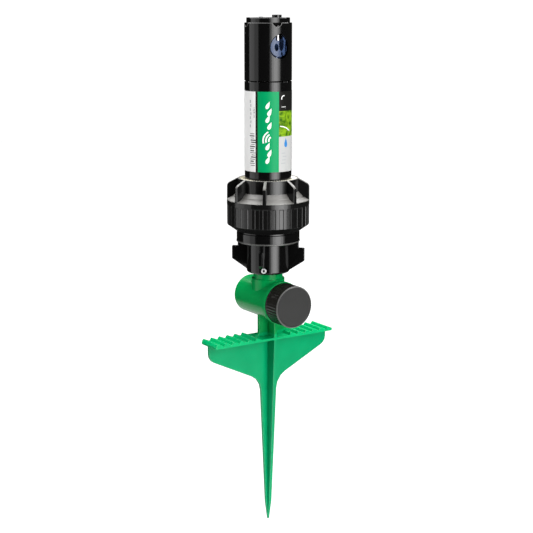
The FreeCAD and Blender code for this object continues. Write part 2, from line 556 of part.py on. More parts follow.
def gear_train():
    compound_gear("layshaft_gear_lower", "gear_centres", "stage_low + 0.3")
    compound_gear("centre_gear", "0", "stage_low + stage_pitch")
    compound_gear("layshaft_gear_upper", "gear_centres", "stage_low + 2 * stage_pitch")

    output = new_body("output_gear", z="stage_low + 3 * stage_pitch - 0.2")
    add_teeth(output, "output_gear", "gear_teeth", "0", "gear_thick", True)
    disc(output, "output_hub", "output_hub", "gear_thick - 0.2",
         "case_high - stage_low - 3 * stage_pitch + 4")
    disc(output, "output_bore", "shaft_radius + shaft_gap", "-1", "2.2", cuts=True)

    disc(new_body("layshaft", x="gear_centres"), "layshaft_pad", "shaft_radius",
         "layshaft_low", "layshaft_high")

    lower = new_body("gear_case_lower")
    turn_profile(lower, "case_lower_section", [("bearing_outer", "case_low"), ("case_radius", "case_low"),
                                               ("case_radius", "case_split"), ("case_bore", "case_split"),
                                               ("case_bore", "case_floor"),
                                               ("bearing_outer", "case_floor")])
    disc(lower, "case_lower_socket", "shaft_radius", "layshaft_low", "case_floor + 1", cuts=True,
         x="gear_centres")
    upper = new_body("gear_case_upper")
    turn_profile(upper, "case_upper_section", [("output_hub + fit_gap", "case_roof"),
                                               ("case_bore", "case_roof"),
                                               ("case_bore", "case_split"), ("case_radius", "case_split"),
                                               ("case_radius", "case_high"),
                                               ("output_hub + fit_gap", "case_high")])
    disc(upper, "case_upper_socket", "shaft_radius", "case_roof - 1", "layshaft_high", cuts=True,
         x="gear_centres")
    ring_body("turbine_bearing", "shaft_radius + shaft_gap", "bearing_outer", "case_low", "case_floor")


# ---- drive tube, clutch, bearing --------------------------------------------------------------

def drive_line():
    ring_body("clutch_ring", "output_hub", "tube_bore", "clutch_low", "clutch_high")
    tube = new_body("drive_tube")
    turn_profile(tube, "tube_section", [("tube_bore", "tube_low"), ("tube_radius", "tube_low"),
                                        ("tube_radius", "tube_top"), ("tube_bore", "tube_top")])
    window = new_sketch(tube, "tube_window", "XZ_Plane")
    draw_polygon(window, [("-window_half", "window_low"), ("window_half", "window_low"),
                          ("window_half", "window_high"), ("-window_half", "window_high")])
    first = extrude(tube, window, "tube_radius + 1", cuts=True, reverse=True)
    round_about(tube, [first], "window_count")

    plate = new_body("bearing_plate")
    turn_profile(plate, "bearing_section", [("tube_radius + fit_gap", "bearing_low"),
                                            ("bearing_radius", "bearing_low"),
                                            ("bearing_radius", "bearing_high"),
                                            ("tube_radius + fit_gap", "bearing_high")])
    slot = new_sketch(plate, "rod_slot", "XY_Plane", out="bearing_low - 1")
    draw_polygon(slot, [("-rod_slot_half", "rod_orbit - rod_slot_depth"),
                        ("rod_slot_half", "rod_orbit - rod_slot_depth"),
                        ("rod_slot_half", "rod_orbit + 3"), ("-rod_slot_half", "rod_orbit + 3")])
    extrude(plate, slot, "bearing_high - bearing_low + 2", cuts=True, reverse=True)
    ring_body("drive_seal", "tube_radius + 0.05", "drive_seal_radius", "bearing_high",
              "bearing_high + drive_seal_thick")


# ---- turret -----------------------------------------------------------------------------------

NOZZLE_TILT = {"turn": "-nozzle_rise", "axis": (1, 0, 0)}


def turret():
    body = new_body("turret_housing", turn="turret_turn")
    turn_profile(body, "turret_section", [("turret_bore", "turret_low"), ("turret_radius", "turret_low"),
                                          ("turret_radius", "turret_high"), ("turret_bore", "turret_high"),
                                          ("turret_bore", "turret_floor_high"),
                                          ("tube_radius + 0.02", "turret_floor_high"),
                                          ("tube_radius + 0.02", "turret_floor_low"),
                                          ("turret_bore", "turret_floor_low")])
    disc(body, "water_tower", "tower_radius", "turret_floor_high - 0.5", "nozzle_height + 6")
    boss = new_sketch(body, "nozzle_boss", "XZ_Plane", up="nozzle_height", **NOZZLE_TILT)
    draw_circle(boss, "socket_wall")
    extrude(body, boss, "nozzle_front - 1")
    pillar = new_sketch(body, "screw_pillar", "XY_Plane", out="nozzle_height + 7")
    side = "screw_radius + pillar_wall"
    draw_polygon(pillar, [(f"-({side})", "-turret_bore - 1"), (side, "-turret_bore - 1"),
                          (side, f"-screw_orbit + {side}"), (f"-({side})", f"-screw_orbit + {side}")])
    extrude(body, pillar, "cover_low - nozzle_height - 7")
    disc(body, "tower_way", "tube_radius + 0.02", "turret_floor_low - 1", "tube_top", cuts=True)
    socket = new_sketch(body, "nozzle_socket", "XZ_Plane", up="nozzle_height", **NOZZLE_TILT)
    draw_circle(socket, "socket_radius")
    extrude(body, socket, "turret_radius + 12", cuts=True, reverse=True)
    disc(body, "screw_way", "screw_radius + 0.08", "nozzle_height + 5", "cover_low + 1", cuts=True,
         y="-screw_orbit")
    disc(body, "screw_seal_seat", "screw_radius + 1.0", "screw_seal_low - 2.8", "cover_low + 1", cuts=True,
         y="-screw_orbit")
    disc(body, "adjuster_way", "adjuster_radius + fit_gap", "turret_floor_low - 1",
         "turret_floor_high + 16",
         cuts=True, y="arc_centres")
    notch = new_sketch(body, "rim_notch", "XZ_Plane", out="turret_bore - 1")
    draw_circle(notch, "notch_radius", "0", "turret_high + 0.6")
    first = extrude(body, notch, "4", cuts=True, reverse=True)
    round_about(body, [first], "notch_count")
    stop = new_sketch(body, "fixed_stop", "XY_Plane", out="arc_tab_low", turn="-arc_angle")
    draw_polygon(stop, [("-arc_arm_half", "-arc_tab"), ("-arc_arm_half", "-arc_tab_outer"),
                        ("arc_arm_half", "-arc_tab_outer"),
                        ("arc_arm_half", "-arc_tab")])
    extrude(body, stop, "turret_floor_low - arc_tab_low + 0.5")

    cover = new_body("top_cover", turn="turret_turn")
    turn_profile(cover, "cover_section", [("0", "cover_low"), ("cover_radius", "cover_low"),
                                          ("cover_radius", "turret_high"), ("cover_lip", "turret_high"),
                                          ("cover_lip", "cover_high - 0.8"),
                                          ("cover_lip - 0.8", "cover_high"),
                                          ("0", "cover_high")])
    disc(cover, "screw_boss_pad", "screw_boss", "cover_high - 1", "boss_top", y="-screw_orbit + 1.2")
    disc(cover, "screw_boss_hole", "screw_radius + 0.3", "cover_low - 1", "boss_top + 1", cuts=True,
         y="-screw_orbit")
    disc(cover, "adjuster_hole", "adjuster_radius + fit_gap", "cover_low - 1", "cover_high + 1", cuts=True,
         y="arc_centres")

    nozzle = new_body("nozzle", turn="turret_turn")
    tube = new_sketch(nozzle, "nozzle_barrel", "XZ_Plane", up="nozzle_height", **NOZZLE_TILT)
    draw_circle(tube, "nozzle_radius")
    extrude(nozzle, tube, "nozzle_front")
    for name, right, above in (("main_jet", 0.6, 1.2), ("side_jet", -3.9, -3.2)):
        hole = new_sketch(nozzle, name, "XZ_Plane", up="nozzle_height", **NOZZLE_TILT)
        draw_circle(hole, name, right, above)
        extrude(nozzle, hole, "nozzle_front + 2", cuts=True, reverse=True)
    disc(nozzle, "nozzle_foot_trim", "nozzle_radius + 4", "nozzle_height - 16", "tube_top + 0.3", cuts=True)


def driver_slot(body, name, top):
    """A slot for a flat screwdriver across the top of a screw."""
    slot = new_sketch(body, name, "XY_Plane", out=f"{top} - driver_slot_depth")
    draw_polygon(slot, [("-2", "-driver_slot_half"), ("2", "-driver_slot_half"),
                        ("2", "driver_slot_half"), ("-2", "driver_slot_half")])
    extrude(body, slot, "2", cuts=True, reverse=True)


def turret_adjusters():
    ring_body("radius_screw_seal", "screw_radius + 0.05", "screw_radius + 0.95",
              "screw_seal_low", "screw_seal_low + screw_seal_thick", turn="turret_turn",
              x="screw_orbit * sin(turret_turn)", y="-screw_orbit * cos(turret_turn)")
    screw = new_body("radius_screw", turn="turret_turn",
                     x="screw_orbit * sin(turret_turn)", y="-screw_orbit * cos(turret_turn)")
    disc(screw, "radius_screw_pad", "screw_radius", "screw_tip", "screw_top")
    driver_slot(screw, "radius_screw_slot", "screw_top")

    ring = new_body("arc_stop_ring", turn="turret_turn")
    add_teeth(ring, "arc_ring", "arc_teeth", "arc_low", "arc_thick", True)
    arm = new_sketch(ring, "arc_arm", "XY_Plane", out="arc_low", turn="arc_angle")
    draw_polygon(arm, [("-arc_arm_half", "-7"), ("-arc_arm_half", "-arc_tab_outer"),
                       ("arc_arm_half", "-arc_tab_outer"), ("arc_arm_half", "-7")])
    extrude(ring, arm, "arc_thick")
    tab = new_sketch(ring, "arc_tab_outline", "XY_Plane", out="arc_tab_low", turn="arc_angle")
    draw_polygon(tab, [("-arc_arm_half", "-arc_tab"), ("-arc_arm_half", "-arc_tab_outer"),
                       ("arc_arm_half", "-arc_tab_outer"),
                       ("arc_arm_half", "-arc_tab")])
    extrude(ring, tab, "arc_low - arc_tab_low + 0.5")
    disc(ring, "arc_ring_bore", "tube_radius + fit_gap", "arc_low - 1", "arc_low + arc_thick + 1",
         cuts=True)

    adjuster = new_body("arc_adjuster", turn="turret_turn",
                        x="-arc_centres * sin(turret_turn)", y="arc_centres * cos(turret_turn)")
    add_teeth(adjuster, "adjuster_pinion", "pinion_teeth", "arc_low", "arc_thick", False)
    disc(adjuster, "adjuster_shaft", "adjuster_radius", "arc_low + arc_thick - 0.3", "adjuster_top")
    driver_slot(adjuster, "adjuster_slot", "adjuster_top")


# ---- build, check and write -------------------------------------------------------------------

def check_and_write():
    doc.recompute()
    for item in doc.Objects:
        if "Invalid" in item.State or "Error" in item.State:
            raise RuntimeError(f"{item.Name} is {item.State}")
    os.makedirs("parts", exist_ok=True)
    for part in parts:
        shape = part.Shape
        if shape.isNull() or not shape.isValid() or not shape.Solids:
            raise RuntimeError(f"{part.Label} has no valid solid")
        shape.exportStep(f"parts/{part.Label}.step")
        print(f"{part.Label}: {len(shape.Solids)} solid, {shape.Volume:.1f} mm3")


ground_spike()
hose_fittings()
base_housing()
clamp_cap()
riser()
reversing_parts()
turbine()
gear_train()
drive_line()
turret()
turret_adjusters()
check_and_write()
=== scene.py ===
import bmesh
import bpy
import json
import math
from mathutils import Matrix, Vector


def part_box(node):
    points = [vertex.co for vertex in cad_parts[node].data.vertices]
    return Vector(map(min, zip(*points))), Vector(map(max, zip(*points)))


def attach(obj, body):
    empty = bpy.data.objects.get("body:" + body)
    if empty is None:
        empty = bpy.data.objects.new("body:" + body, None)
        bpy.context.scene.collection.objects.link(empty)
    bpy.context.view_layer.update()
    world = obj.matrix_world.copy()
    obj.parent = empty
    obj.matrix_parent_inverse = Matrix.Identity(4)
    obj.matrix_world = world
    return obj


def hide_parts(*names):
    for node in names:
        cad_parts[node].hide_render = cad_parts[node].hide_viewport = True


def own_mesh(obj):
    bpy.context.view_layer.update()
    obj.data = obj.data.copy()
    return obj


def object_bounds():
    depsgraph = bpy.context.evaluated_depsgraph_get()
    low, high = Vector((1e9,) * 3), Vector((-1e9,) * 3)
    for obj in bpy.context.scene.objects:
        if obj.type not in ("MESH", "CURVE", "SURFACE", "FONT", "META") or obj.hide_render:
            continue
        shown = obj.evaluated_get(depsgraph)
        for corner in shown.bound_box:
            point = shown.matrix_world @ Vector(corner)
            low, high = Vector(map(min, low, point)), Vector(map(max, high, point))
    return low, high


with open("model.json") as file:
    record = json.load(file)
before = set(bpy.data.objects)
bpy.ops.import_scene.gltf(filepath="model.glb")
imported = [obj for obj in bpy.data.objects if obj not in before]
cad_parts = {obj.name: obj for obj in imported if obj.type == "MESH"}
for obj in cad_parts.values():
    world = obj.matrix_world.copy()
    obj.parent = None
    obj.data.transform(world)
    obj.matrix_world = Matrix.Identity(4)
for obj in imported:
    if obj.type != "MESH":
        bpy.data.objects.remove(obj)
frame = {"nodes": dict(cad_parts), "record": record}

# The pieces are drawn in millimetres, in the CAD model's frame, and become metres in make_piece.
cad_low, cad_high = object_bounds()
MM = 0.001
SLOTS = {row["node"]: row["material_slot"] for row in frame["record"]["subparts"]}
BODIES = {node: body for body, nodes in frame["record"]["behaviour"]["bodies"].items() for node in nodes}

# ---- view and light ----------------------------------------------------------------------------
VIEW_AZIMUTH = math.radians(-123.4)     # direction from the riser's axis to the camera
CAMERA_REACH = 990.8 * MM
CAMERA_HEIGHT = 263.9 * MM
CAMERA_DOWN = math.radians(11.76)
CAMERA_YAW = math.radians(0.073)
SENSOR_WIDTH, LENS = 36, 86.36


def from_axis(angle, reach, height):
    """A point at an angle right of the camera's direction, as seen from the camera."""
    azimuth = VIEW_AZIMUTH + math.radians(angle)
    return Vector((reach * math.cos(azimuth), reach * math.sin(azimuth), height))


def add_camera():
    """The camera, level from side to side and looking a little down at the object."""
    data = bpy.data.cameras.new("camera")
    data.sensor_width = SENSOR_WIDTH
    data.lens = LENS
    camera = bpy.data.objects.new("camera", data)
    bpy.context.scene.collection.objects.link(camera)
    camera.location = from_axis(0, CAMERA_REACH, CAMERA_HEIGHT)
    heading = VIEW_AZIMUTH + math.pi + CAMERA_YAW
    forward = Vector((math.cos(heading) * math.cos(CAMERA_DOWN), math.sin(heading) * math.cos(CAMERA_DOWN),
                      -math.sin(CAMERA_DOWN)))
    camera.rotation_euler = forward.to_track_quat("-Z", "Y").to_euler()
    bpy.context.scene.camera = camera


def add_softbox(name, place, aim, width, tall, radiance):
    """A rectangular lamp; radiance is what a mirror would show of it."""
    data = bpy.data.lights.new(name, "AREA")
    data.shape = "RECTANGLE"
    data.size = width
    data.size_y = tall
    data.energy = radiance * math.pi * width * tall
    lamp = bpy.data.objects.new(name, data)
    bpy.context.scene.collection.objects.link(lamp)
    lamp.location = place
    lamp.rotation_euler = (aim - place).to_track_quat("-Z", "Y").to_euler()
    lamp.visible_camera = False


# Bands of the upright softboxes, each from one angle to another, right of the camera, and its radiance.
KEY_BANDS = ((8, 17, 1.6), (17, 27, 5.2), (27, 46, 7.0), (46, 56, 4.6), (56, 62, 1.3))
FILL_BANDS = ((-70, -48, 0.95), (-102, -70, 1.5))
FLOOR_GAP = 0.4 * MM


def add_lights():
    """Upright softboxes either side in bands of their own brightness, one overhead and a weak one below."""
    middle = Vector((0, 0, 100 * MM))
    reach, tall = 1.2, 2.4
    for number, (start, end, radiance) in enumerate(KEY_BANDS + FILL_BANDS):
        width = 2 * reach * math.tan(math.radians(abs(end - start) / 2))
        place = from_axis((start + end) / 2, reach, 100 * MM)
        add_softbox(f"side_{number}", place, middle, width, tall, radiance)
    add_softbox("top", from_axis(180, 0.50, 1.35), middle, 1.9, 1.3, 9.5)
    add_softbox("bounce", Vector((0, 0, cad_low[2] - FLOOR_GAP / 2)), middle, 0.7, 0.7, 1.0)


def add_world():
    """White to the camera, nearly dark to everything else."""
    world = bpy.data.worlds.new("studio")
    bpy.context.scene.world = world
    world.use_nodes = True
    nodes, links = world.node_tree.nodes, world.node_tree.links
    nodes.clear()
    path = nodes.new("ShaderNodeLightPath")
    dim = nodes.new("ShaderNodeBackground")
    dim.inputs["Color"].default_value = (0.020, 0.0195, 0.018, 1)
    white = nodes.new("ShaderNodeBackground")
    white.inputs["Color"].default_value = (1, 1, 1, 1)
    white.inputs["Strength"].default_value = 1.05
    mix = nodes.new("ShaderNodeMixShader")
    out = nodes.new("ShaderNodeOutputWorld")
    links.new(path.outputs["Is Camera Ray"], mix.inputs[0])
    links.new(dim.outputs[0], mix.inputs[1])
    links.new(white.outputs[0], mix.inputs[2])
    links.new(mix.outputs[0], out.inputs["Surface"])


def add_floor():
    """A round pale floor just under the spike's tip."""
    mesh = bpy.data.meshes.new("floor")
    bm = bmesh.new()
    bmesh.ops.create_circle(bm, cap_ends=True, radius=3.0, segments=96)
    bm.to_mesh(mesh)
    bm.free()
    floor = bpy.data.objects.new("floor", mesh)
    bpy.context.scene.collection.objects.link(floor)
    floor.location.z = cad_low[2] - FLOOR_GAP
    material = bpy.data.materials.new("pale_floor")
    material.use_nodes = True
    nodes, links = material.node_tree.nodes, material.node_tree.links
    nodes.clear()
    glow = nodes.new("ShaderNodeEmission")
    glow.inputs["Strength"].default_value = 1.0
    matte = nodes.new("ShaderNodeBsdfDiffuse")
    matte.inputs["Color"].default_value = (0.12, 0.12, 0.12, 1)
    both = nodes.new("ShaderNodeAddShader")
    out = nodes.new("ShaderNodeOutputMaterial")
    links.new(glow.outputs[0], both.inputs[0])
    links.new(matte.outputs[0], both.inputs[1])
    links.new(both.outputs[0], out.inputs["Surface"])
    mesh.materials.append(material)
    floor.visible_glossy = False
    floor.visible_diffuse = False


# ---- materials ---------------------------------------------------------------------------------

RELIEF_DEPTH = 0.2 * MM


def moulded(name, colour, rough, tint=0.06, grain=900.0, bump=0.02, specular=0.5):
    """Injection-moulded plastic: slow colour drift, uneven gloss and a fine surface grain."""
    material = bpy.data.materials.new(name)
    material.use_nodes = True
    nodes, links = material.node_tree.nodes, material.node_tree.links
    shader = nodes["Principled BSDF"]
    place = nodes.new("ShaderNodeTexCoord")
    drift = nodes.new("ShaderNodeTexNoise")
    drift.inputs["Scale"].default_value = 60
    drift.inputs["Detail"].default_value = 3
    links.new(place.outputs["Object"], drift.inputs["Vector"])
    ramp = nodes.new("ShaderNodeValToRGB")
    ramp.color_ramp.elements[0].position = 0.3
    ramp.color_ramp.elements[1].position = 0.7
    ramp.color_ramp.elements[0].color = [c * (1 - tint) for c in colour] + [1]
    ramp.color_ramp.elements[1].color = [min(1, c * (1 + tint)) for c in colour] + [1]
    links.new(drift.outputs["Fac"], ramp.inputs["Fac"])
    links.new(ramp.outputs["Color"], shader.inputs["Base Color"])
    gloss = nodes.new("ShaderNodeMapRange")
    gloss.inputs["To Min"].default_value = rough * 0.85
    gloss.inputs["To Max"].default_value = rough * 1.2
    links.new(drift.outputs["Fac"], gloss.inputs["Value"])
    links.new(gloss.outputs["Result"], shader.inputs["Roughness"])
    fine = nodes.new("ShaderNodeTexNoise")
    fine.inputs["Scale"].default_value = grain
    fine.inputs["Detail"].default_value = 4
    links.new(place.outputs["Object"], fine.inputs["Vector"])
    relief = nodes.new("ShaderNodeBump")
    relief.inputs["Strength"].default_value = bump
    relief.inputs["Distance"].default_value = RELIEF_DEPTH
    links.new(fine.outputs["Fac"], relief.inputs["Height"])
    links.new(relief.outputs["Normal"], shader.inputs["Normal"])
    shader.inputs["Specular IOR Level"].default_value = specular
    return material


def node_of(nodes, kind):
    """The first node of a kind in a material."""
    return next(node for node in nodes if node.bl_idname == kind)


def turned_steel(name, colour, rough):
    """Bare metal with a fine grain."""
    material = moulded(name, colour, rough, tint=0.1, grain=4000.0, bump=0.05)
    material.node_tree.nodes["Principled BSDF"].inputs["Metallic"].default_value = 1.0
    return material


WEB_GREEN = (0.0, 0.275, 0.105)
PLATE_GREEN = (0.0, 0.38, 0.13)
BARREL_GREEN = (0.0, 0.295, 0.068)


def stake_plastic():
    """The stake's green: light comes through its thin plate and web, so they are brighter than the barrel."""
    material = moulded("stake_green_plastic", (0.92, 0.92, 0.92), 0.22, grain=1500.0, bump=0.08,
                       specular=0.19)
    nodes, links = material.node_tree.nodes, material.node_tree.links
    drift = node_of(nodes, "ShaderNodeValToRGB")
    place = node_of(nodes, "ShaderNodeTexCoord")
    split = nodes.new("ShaderNodeSeparateXYZ")
    links.new(place.outputs["Object"], split.inputs[0])
    height = nodes.new("ShaderNodeMapRange")
    height.inputs["From Min"].default_value = -2 * MM
    height.inputs["From Max"].default_value = 8 * MM
    links.new(split.outputs["Z"], height.inputs["Value"])
    bands = nodes.new("ShaderNodeValToRGB")
    stops = ((0.10, WEB_GREEN), (0.22, PLATE_GREEN), (0.60, PLATE_GREEN), (0.75, BARREL_GREEN))
    for position, colour in stops:
        stop = bands.color_ramp.elements.new(position)
        stop.color = list(colour) + [1]
    for end in (0, -1):
        bands.color_ramp.elements.remove(bands.color_ramp.elements[end])
    links.new(height.outputs["Result"], bands.inputs["Fac"])
    mix = nodes.new("ShaderNodeMix")
    mix.data_type = "RGBA"
    mix.blend_type = "MULTIPLY"
    mix.inputs[0].default_value = 1.0
    links.new(bands.outputs["Color"], mix.inputs[6])
    links.new(drift.outputs["Color"], mix.inputs[7])
    links.new(mix.outputs[2], nodes["Principled BSDF"].inputs["Base Color"])
    return material


MATERIALS = {
    "stake_green": stake_plastic(),
    "black_plastic": moulded("gloss_black_plastic", (0.003, 0.003, 0.0031), 0.115, bump=0.010, specular=0.43),
    "cap_black": moulded("matte_black_plastic", (0.016, 0.016, 0.0155), 0.5, bump=0.12, specular=0.28),
    "nozzle_blue": moulded("blue_nozzle_plastic", (0.032, 0.057, 0.130), 0.30, specular=0.4),
    "cream_plastic": moulded("cream_nylon", (0.75, 0.72, 0.60), 0.4),
    "label_print": moulded("label_white", (0.90, 0.90, 0.895), 0.35, tint=0.02, specular=0.12),
    "steel": turned_steel("screw_steel", (0.66, 0.65, 0.66), 0.34),
    "black_rubber": moulded("black_rubber", (0.015, 0.015, 0.015), 0.6, bump=0.1),
    "gear_acetal": moulded("white_acetal", (0.8, 0.8, 0.78), 0.35),
    "grey_plastic": moulded("grey_moulding", (0.16, 0.165, 0.17), 0.4),
}
SATIN_BLACK = moulded("satin_black_plastic", (0.005, 0.005, 0.005), 0.17, bump=0.02, specular=0.43)
# Painted top light: a warm grey, much lighter than the black, for the clamp cap's upward faces lit from
# above.
PAINTED_TOP_LIGHT = moulded("black_with_painted_top_light", (0.125, 0.121, 0.113), 0.48, bump=0.05, specular=0.9)
# Painted highlight: a lighter grey for edges, lips and rims, where light glints or the floor is reflected.
PAINTED_EDGE_HIGHLIGHT = moulded("black_with_painted_edge_highlight", (0.06, 0.06, 0.057), 0.4, bump=0.05, specular=0.8)
ZINC = moulded("bright_zinc", (0.72, 0.72, 0.73), 0.42, specular=0.8)
ZINC.node_tree.nodes["Principled BSDF"].inputs["Metallic"].default_value = 0.3
# Painted shade: a black that barely reflects, for recesses, sockets and faces under overhangs.
PAINTED_SHADE_BLACK = moulded("black_with_painted_shade", (0.003, 0.003, 0.003), 0.8, specular=0.05)
CAP_SKIRT = moulded("cap_skirt_plastic", (0.010, 0.0095, 0.0075), 0.22, bump=0.03, specular=0.32)
PRINT_GREEN = moulded("print_green", (0.0, 0.29, 0.10), 0.35, tint=0.02, specular=0.12)
PRINT_BLACK = moulded("print_black", (0.010, 0.010, 0.009), 0.35, tint=0.02, specular=0.12)
PRINT_GREY = moulded("print_grey", (0.35, 0.36, 0.38), 0.35, tint=0.02, specular=0.12)
PRINT_PALE = moulded("print_pale", (0.44, 0.445, 0.44), 0.35, tint=0.02, specular=0.12)
PRINT_BLUE = moulded("print_blue", (0.03, 0.20, 0.50), 0.35, tint=0.02, specular=0.12)
PRINT_WHITE = moulded("print_white", (0.85, 0.86, 0.85), 0.35, tint=0.02, specular=0.12)


def lawn_print():
    """Printed grass: streaks of yellow-green over darker green."""
    material = moulded("print_lawn", (0.10, 0.19, 0.01), 0.35, specular=0.12)
    nodes, links = material.node_tree.nodes, material.node_tree.links
    place = node_of(nodes, "ShaderNodeTexCoord")
    blades = nodes.new("ShaderNodeTexNoise")
    blades.inputs["Scale"].default_value = 170
    blades.inputs["Detail"].default_value = 6
    blades.inputs["Distortion"].default_value = 1.5
    links.new(place.outputs["Object"], blades.inputs["Vector"])
    ramp = nodes.new("ShaderNodeValToRGB")
    ramp.color_ramp.elements[0].position = 0.35
    ramp.color_ramp.elements[0].color = (0.02, 0.09, 0.004, 1)
    ramp.color_ramp.elements[1].position = 0.62
    ramp.color_ramp.elements[1].color = (0.20, 0.36, 0.012, 1)
    links.new(blades.outputs["Fac"], ramp.inputs["Fac"])
    links.new(ramp.outputs["Color"], nodes["Principled BSDF"].inputs["Base Color"])
    return material


PRINT_LAWN = lawn_print()

# ---- mesh kit ----------------------------------------------------------------------------------

ROUND_STEPS = 3
TURNS = 192


def rounded(outline, radius):
    """A closed outline of (x, y) or (x, y, own radius), each corner an arc with a close point beside it."""
    points = []
    count = len(outline)
    for index, corner in enumerate(outline):
        own = corner[2] if len(corner) > 2 else radius
        here = Vector(corner[:2])
        back = Vector(outline[index - 1][:2]) - here
        ahead = Vector(outline[(index + 1) % count][:2]) - here
        turn = math.pi - back.angle(ahead)
        if own <= 0 or turn < math.radians(3):
            points.append(here)
            continue
        reach = min(own * math.tan(turn / 2), 0.4 * back.length, 0.4 * ahead.length)
        own = reach / math.tan(turn / 2)
        start, end = here + back.normalized() * reach, here + ahead.normalized() * reach
        centre = here + (back.normalized() + ahead.normalized()).normalized() * (own / math.cos(turn / 2))
        hold = min(0.3 * reach, 0.05 * min(back.length, ahead.length))
        points.append(start + back.normalized() * hold)
        for step in range(ROUND_STEPS + 1):
            share = step / ROUND_STEPS
            arm = (start - centre) * (1 - share) + (end - centre) * share
            points.append(centre + arm.normalized() * own)
        points.append(end + ahead.normalized() * hold)
    return points


def skin(rings, closed):
    """A surface of quads through rings of points, closed at the axis or back on its first ring."""
    bm = bmesh.new()
    grid = [[bm.verts.new(point) for point in ring] for ring in rings]
    for index in range(len(grid) if closed else len(grid) - 1):
        near, far = grid[index], grid[(index + 1) % len(grid)]
        for step in range(len(near)):
            after = (step + 1) % len(near)
            bm.faces.new((near[step], near[after], far[after], far[step]))
    bmesh.ops.remove_doubles(bm, verts=bm.verts, dist=1e-4)
    bmesh.ops.recalc_face_normals(bm, faces=bm.faces)
    return bm


def lathe(outline, round_by=0.3, angles=None, shape=None):
    """Turn a closed outline of (radius, height) about Z; shape may move a point by its angle."""
    points = rounded([(*p[:2], 0) if p[0] <= 0 else p for p in outline], round_by)
    angles = angles or [math.tau * step / TURNS for step in range(TURNS)]
    shape = shape or (lambda radius, height, angle: (radius, height))
    rings = []
    for point in points:
        ring = []
        for angle in angles:
            radius, height = shape(point.x, point.y, angle)
            ring.append(Vector((radius * math.cos(angle), radius * math.sin(angle), height)))
        rings.append(ring)
    return skin(rings, closed=points[0].x > 1e-6)


def prism(outline, thick, bevel=0.3, half_thick=None):
    """An outline of (x, z) given a thickness along Y, with eased edges."""
    bm = bmesh.new()
    points = [Vector((p[0], 0, p[1])) for p in outline]
    front = [bm.verts.new(p + Vector((0, -thick / 2, 0))) for p in points]
    back = [bm.verts.new(p + Vector((0, thick / 2, 0))) for p in points]
    bm.faces.new(front)
    bm.faces.new(list(reversed(back)))
    for index in range(len(points)):
        after = (index + 1) % len(points)
        bm.faces.new((front[index], back[index], back[after], front[after]))
    bmesh.ops.recalc_face_normals(bm, faces=bm.faces)
    if half_thick:
        for vert in bm.verts:
            vert.co.y = math.copysign(half_thick(vert.co.x, vert.co.z), vert.co.y)
    sharp = [edge for edge in bm.edges if edge.calc_face_angle(0) > math.radians(35)]
    if bevel:
        bmesh.ops.bevel(bm, geom=sharp, offset=bevel, segments=2, profile=0.5, affect="EDGES",
                        clamp_overlap=True)
    return bm


def turned(shell, degrees, axis="Z", move=(0, 0, 0)):
    """Turn a shell about one of the frame's axes, then move it."""
    shell.transform(Matrix.Translation(Vector(move)) @ Matrix.Rotation(math.radians(degrees), 4, axis))
    return shell


def joined(shells):
    """Several closed shells in one mesh."""
    whole = bmesh.new()
    for shell in shells:
        mesh = bpy.data.meshes.new("shell")
        shell.to_mesh(mesh)
        shell.free()
        whole.from_mesh(mesh)
        bpy.data.meshes.remove(mesh)
    return whole


def new_object(name, bm, scale=MM):
    """An object from a shell in millimetres, made metres unless another scale is given."""
    mesh = bpy.data.meshes.new(name)
    bmesh.ops.scale(bm, vec=(scale, scale, scale), verts=bm.verts)
    bm.to_mesh(mesh)
    bm.free()
    piece = bpy.data.objects.new(name, mesh)
    bpy.context.scene.collection.objects.link(piece)
    return piece


def combined(shell, others, operation):
    """A shell after a boolean with each of the others in turn, still in millimetres."""
    piece = new_object("work", shell, 1)
    for other in others:
        tool = new_object("tool", other, 1)
        step = piece.modifiers.new("boolean", "BOOLEAN")
        step.operation = operation
        step.solver = "EXACT"
        step.object = tool
        result = bpy.data.meshes.new_from_object(piece.evaluated_get(bpy.context.evaluated_depsgraph_get()))
        piece.modifiers.clear()
        piece.data = result
        bpy.data.objects.remove(tool)
    outcome = bmesh.new()
    outcome.from_mesh(piece.data)
    bpy.data.objects.remove(piece)
    return outcome


def carved(shell, cuts):
    return combined(shell, cuts, "DIFFERENCE")


def fused(shell, others):
    return combined(shell, others, "UNION")


def finish_mesh(piece, crease=30, round_about_z=False):
    """Smooth shading that stays crisp at creases, and true round normals on walls about the Z axis."""
    mesh = piece.data
    mesh.shade_smooth()
    mesh.set_sharp_from_angle(angle=math.radians(crease))
    if not round_about_z:
        ease = piece.modifiers.new("weighted_normals", "WEIGHTED_NORMAL")
        ease.keep_sharp = True
        return
    normals = [Vector(normal.vector) for normal in mesh.corner_normals]
    for face in mesh.polygons:
        out = Vector((face.center.x, face.center.y, 0))
        upright, facing_out = abs(face.normal.z) <= 0.02, abs(face.normal.dot(out.normalized())) >= 0.996
        if not (upright and facing_out):
            continue
        sign = 1 if face.normal.dot(out) > 0 else -1
        for corner in face.loop_indices:
            arm = mesh.vertices[mesh.loops[corner].vertex_index].co
            normals[corner] = Vector((arm.x, arm.y, 0)).normalized() * sign
    mesh.normals_split_custom_set(normals)


def settle(piece, node, material=None, stands_for=True):
    """Give a piece its finish and let it ride with a CAD node's body, in that node's place."""
    if not piece.data.materials:
        piece.data.materials.append(material or MATERIALS[SLOTS[node]])
    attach(piece, BODIES[node])
    if stands_for:
        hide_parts(node)
    return piece


def make_piece(name, node, shells, material=None, crease=30, round_about_z=False, stands_for=True):
    """A finished piece made of one or more closed shells in millimetres."""
    piece = new_object(name, joined(shells))
    finish_mesh(piece, crease, round_about_z)
    return settle(piece, node, material, stands_for)


def repaint(piece, material, chosen):
    """Give another finish to the faces for which chosen(face) holds."""
    piece.data.materials.append(material)
    for face in piece.data.polygons:
        if chosen(face):
            face.material_index = len(piece.data.materials) - 1


def span(node):
    """A CAD node's lowest and highest corners at rest, in millimetres."""
    low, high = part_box(node)
    return Vector(low) / MM, Vector(high) / MM


